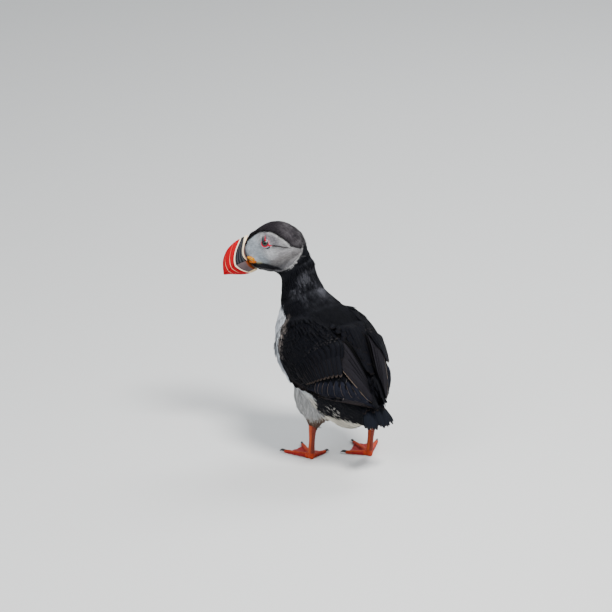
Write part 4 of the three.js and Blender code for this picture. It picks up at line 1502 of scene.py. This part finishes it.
def knuckled(joints):
    def shape(t, a):
        bulge = sum(exp(-(((t - (j + 0.7) / (joints + 0.4)) / 0.05) ** 2)) for j in range(joints))
        return 1 + 0.13 * bulge - 0.05 * cos(t * 90) * max(sin(a), 0)
    return shape


def webSheet(heel, toeA, toeB):
    # skin between two toes, hollow at its edge, with low folds that run out from the heel
    tips = [heel + toeWay(toe[0]) * toe[1] for toe in (toeA, toeB)]
    hollow = (tips[0] + tips[1]) / 2 * 0.86 + heel * 0.14
    tops, count, rows = [], 14, 16
    for i in range(rows + 1):
        for j in range(count + 1):
            a, r = j / count, i / rows
            edge = tips[0] * (1 - a) ** 2 + hollow * 2 * a * (1 - a) + tips[1] * a * a
            edge = (edge - heel) * (1 - 0.02 * (1 + sin(a * 25)) * (r > 0.9))
            fold = 0.22 * sin(a * pi * 5 + r * 2) * sin(pi * a) * r
            p = heel + edge * r
            tops.append(Vector((p.x, p.y, legs["web"] + 0.9 * (1 - r) ** 2 + fold)))
    points = tops + [Vector((p.x, p.y, 0)) for p in tops]
    w, under, faces = count + 1, len(tops), []
    for i in range(rows):
        for j in range(count):
            q = (i * w + j, i * w + j + 1, (i + 1) * w + j + 1, (i + 1) * w + j)
            faces += [q, tuple(under + x for x in reversed(q))]
    rim = [*range(count), *(i * w + count for i in range(rows)),
           *(rows * w + j for j in range(count, 0, -1)), *(i * w for i in range(rows, 0, -1))]
    faces += [(a, under + a, under + b, b) for a, b in zip(rim, rim[1:] + rim[:1])]
    return outward(meshOf("web", [onBird(p) for p in points], faces))


def footPiece(side):
    leg = legs[side]
    heel, toes, parts = Vector(leg["heel"]), list(leg["toes"].values()), []
    for turned, length, _, joints in toes:
        way = toeWay(turned)
        parts.append(legRod("toe", heel, [(way, -1.5, 2.7), (way, length * 0.5, 1.75), (way, length, 1.45)],
                            [3.2, 2.4, 1.8], 18, 60, 0.9, knuckled(joints), upright))
        parts.append(legRod("pad", heel + way * (length + 0.2),
                            [(way, -1.6, 1.45), (way, 0, 1.45), (way, 1.2, 1.45)], [1.6, 1.7, 0.5], 14, 8))
    parts += [webSheet(heel, toes[0], toes[1]), webSheet(heel, toes[1], toes[2])]
    way, shinWay = toeWay(toes[1][0]), (Vector(leg["ankle"]) - heel).normalized()
    parts += [legRod("heel", heel, [(way, -4.2, 1.7), (way, 0, 2.9), (way, 4, 2.4)],
                     [1.9, 3.9, 2.6], 20, 16),
              legRod("instep", heel, [(shinWay, rise, 0) for rise in (1.5, 5, 9)], [3.6, 3.5, 3.2], 20, 12)]
    foot = remeshed(joined("foot", parts), "webbed_foot_" + side, legs["voxel"], legs["soften"])
    mesh = foot.data
    points = vectors(mesh.vertices, "co")
    points[:, 2] = np.maximum(points[:, 2], 0)
    setPlaces(mesh, points)
    # how much of each point is toe, and how far along the toe or up the shin it lies
    x, y, z = ((points - np.array(origin)) / mm - np.array(heel)).T
    onToe, alongToe = np.zeros(len(x)), np.zeros(len(x))
    for turned, *_ in toes:
        way = toeWay(turned)
        run = x * way.x + y * way.y
        off = np.hypot(x - run * way.x, y - run * way.y)
        mine = ease(off, 2.7 - run * 0.03, 1.5) * (run > -2)
        alongToe = np.where(mine >= onToe, run, alongToe)
        onToe = np.maximum(onToe, mine)
    onToe = np.maximum(onToe, ease(np.hypot(x, y), 6.5, 4.5))
    keep(mesh, "toe", onToe)
    keep(mesh, "along", np.where(ease(z, 3.5, 5.5) > 0.5, z, alongToe) / 10)
    return foot


def shinPiece(side):
    leg = legs[side]
    heel, ankle = Vector(leg["heel"]), Vector(leg["ankle"])
    way, length = (ankle - heel).normalized(), (ankle - heel).length
    forward = toeWay(leg["toes"]["middle"][0])
    forward = (forward - way * forward.dot(way)).normalized()

    def scutes(t, a):
        front = max(sin(a), 0) ** 0.5
        step = (t * legs["scutes"]) % 1
        return 1 + front * 0.05 * (step - 0.5) + 0.03 * sin(t * 60 + a * 3) * (1 - front)
    stops = [(way, length * share, 0) for share in (0.2, 0.6, 1.12)]
    return shown(legRod("shin_" + side, heel, stops, legs["shin"], 28, 136, 1.08, scutes, forward))


def clawPiece(side, toe):
    turned, length, long, _ = legs[side]["toes"][toe]
    way = toeWay(turned)
    root = Vector(legs[side]["heel"]) + way * (length - 0.2)
    stops = [(way, 0, 1.7), (way, long * 0.5 + 1, 2.25), (way, long + 1.6, 0.6)]
    return shown(legRod(f"hooked_claw_{toe}_{side}", root, stops, [1.3, 1.05, 0.12], 16, 22, 1.1,
                        lambda t, a: 1 + 0.08 * max(sin(a), 0) ** 4, upright))


def footLook(n):
    toe = n.value("toe")
    soft, fine = n.noise(130, 3), n.noise(700, 3)
    rows = (n.value("along") * 52).sine()
    web = n.mix(soft, (0.18, 0.003, 0.004, 1), (0.42, 0.008, 0.006, 1))
    horn = n.mix(soft, (0.38, 0.022, 0.003, 1), (0.66, 0.075, 0.008, 1))
    colour = n.mix(n.step(rows, 0.45, 0.95) * toe * 0.5, n.mix(toe, web, horn), (0.2, 0.01, 0.006, 1))
    colour = n.mix(fine * 0.35, colour, (0.14, 0.012, 0.01, 1))
    scales = n.step(n.cells("DISTANCE_TO_EDGE", 900.0), 0.0, 0.18)
    return colour, rows * toe * -0.5 + scales * 0.35 + soft * 0.3, 0.0003


def shinLook(n):
    t, a = n.layout("lay")
    soft = n.noise(130, 3, (1, 1, 0.3))
    # the shin's orange-red is darker and browner than the toes', as painted shade
    colour = n.mix(soft, (0.28, 0.028, 0.006, 1), (0.52, 0.08, 0.013, 1))
    back = n.band(a + (soft - 0.5) * 0.12, 0.7, 0.2, 0.08)
    colour = n.mix(back * 0.8, colour, (0.1, 0.012, 0.01, 1))
    line = n.step((t * (legs["scutes"] * 2 * pi)).sine(), 0.5, 1.0) * n.band(a, 0.25, 0.34, 0.08)
    scales = n.step(n.cells("DISTANCE_TO_EDGE", 800.0), 0.0, 0.2)
    return n.mix(line * 0.6, colour, (0.16, 0.014, 0.008, 1)), scales * 0.4 + soft * 0.2, 0.0003


legFinish = newFinish("shin_scales", shinLook, 0.45, 0.2)
footFinish = newFinish("foot_skin", footLook, 0.48, 0.2)
clawFinish = newFinish("claw", clawLook, 0.3)
legParts = []
for side in sides:
    made = [(footPiece(side), footFinish, "foot_" + side), (shinPiece(side), legFinish, "tarsus_" + side)]
    made += [(clawPiece(side, toe), clawFinish, f"claw_{toe}_{side}") for toe in legs[side]["toes"]]
    for piece, finish, node in made:
        piece.data.materials.clear()
        piece.data.materials.append(finish)
        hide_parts(node)
        legParts.append(piece)
print("legs and feet made")
for piece in wings + [tailPiece, mantlePiece, upperBill, lowerBill, billRidge] + faceParts + legParts:
    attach(piece, "root")


floor = shown(meshOf("floor", [(-3, -3, 0), (3, -3, 0), (3, 3, 0), (-3, 3, 0)], [(0, 1, 2, 3)]))
floor.data.materials.append(newFinish("floor", lambda n: (srgb(205, 206, 206),), 0.8))
world = bpy.data.worlds.new("studio")
bpy.context.scene.world = world
world.use_nodes = True
for key, value in (("Color", srgb(214, 219, 224)), ("Strength", 0.55)):
    world.node_tree.nodes["Background"].inputs[key].default_value = value
print("floor and studio made")
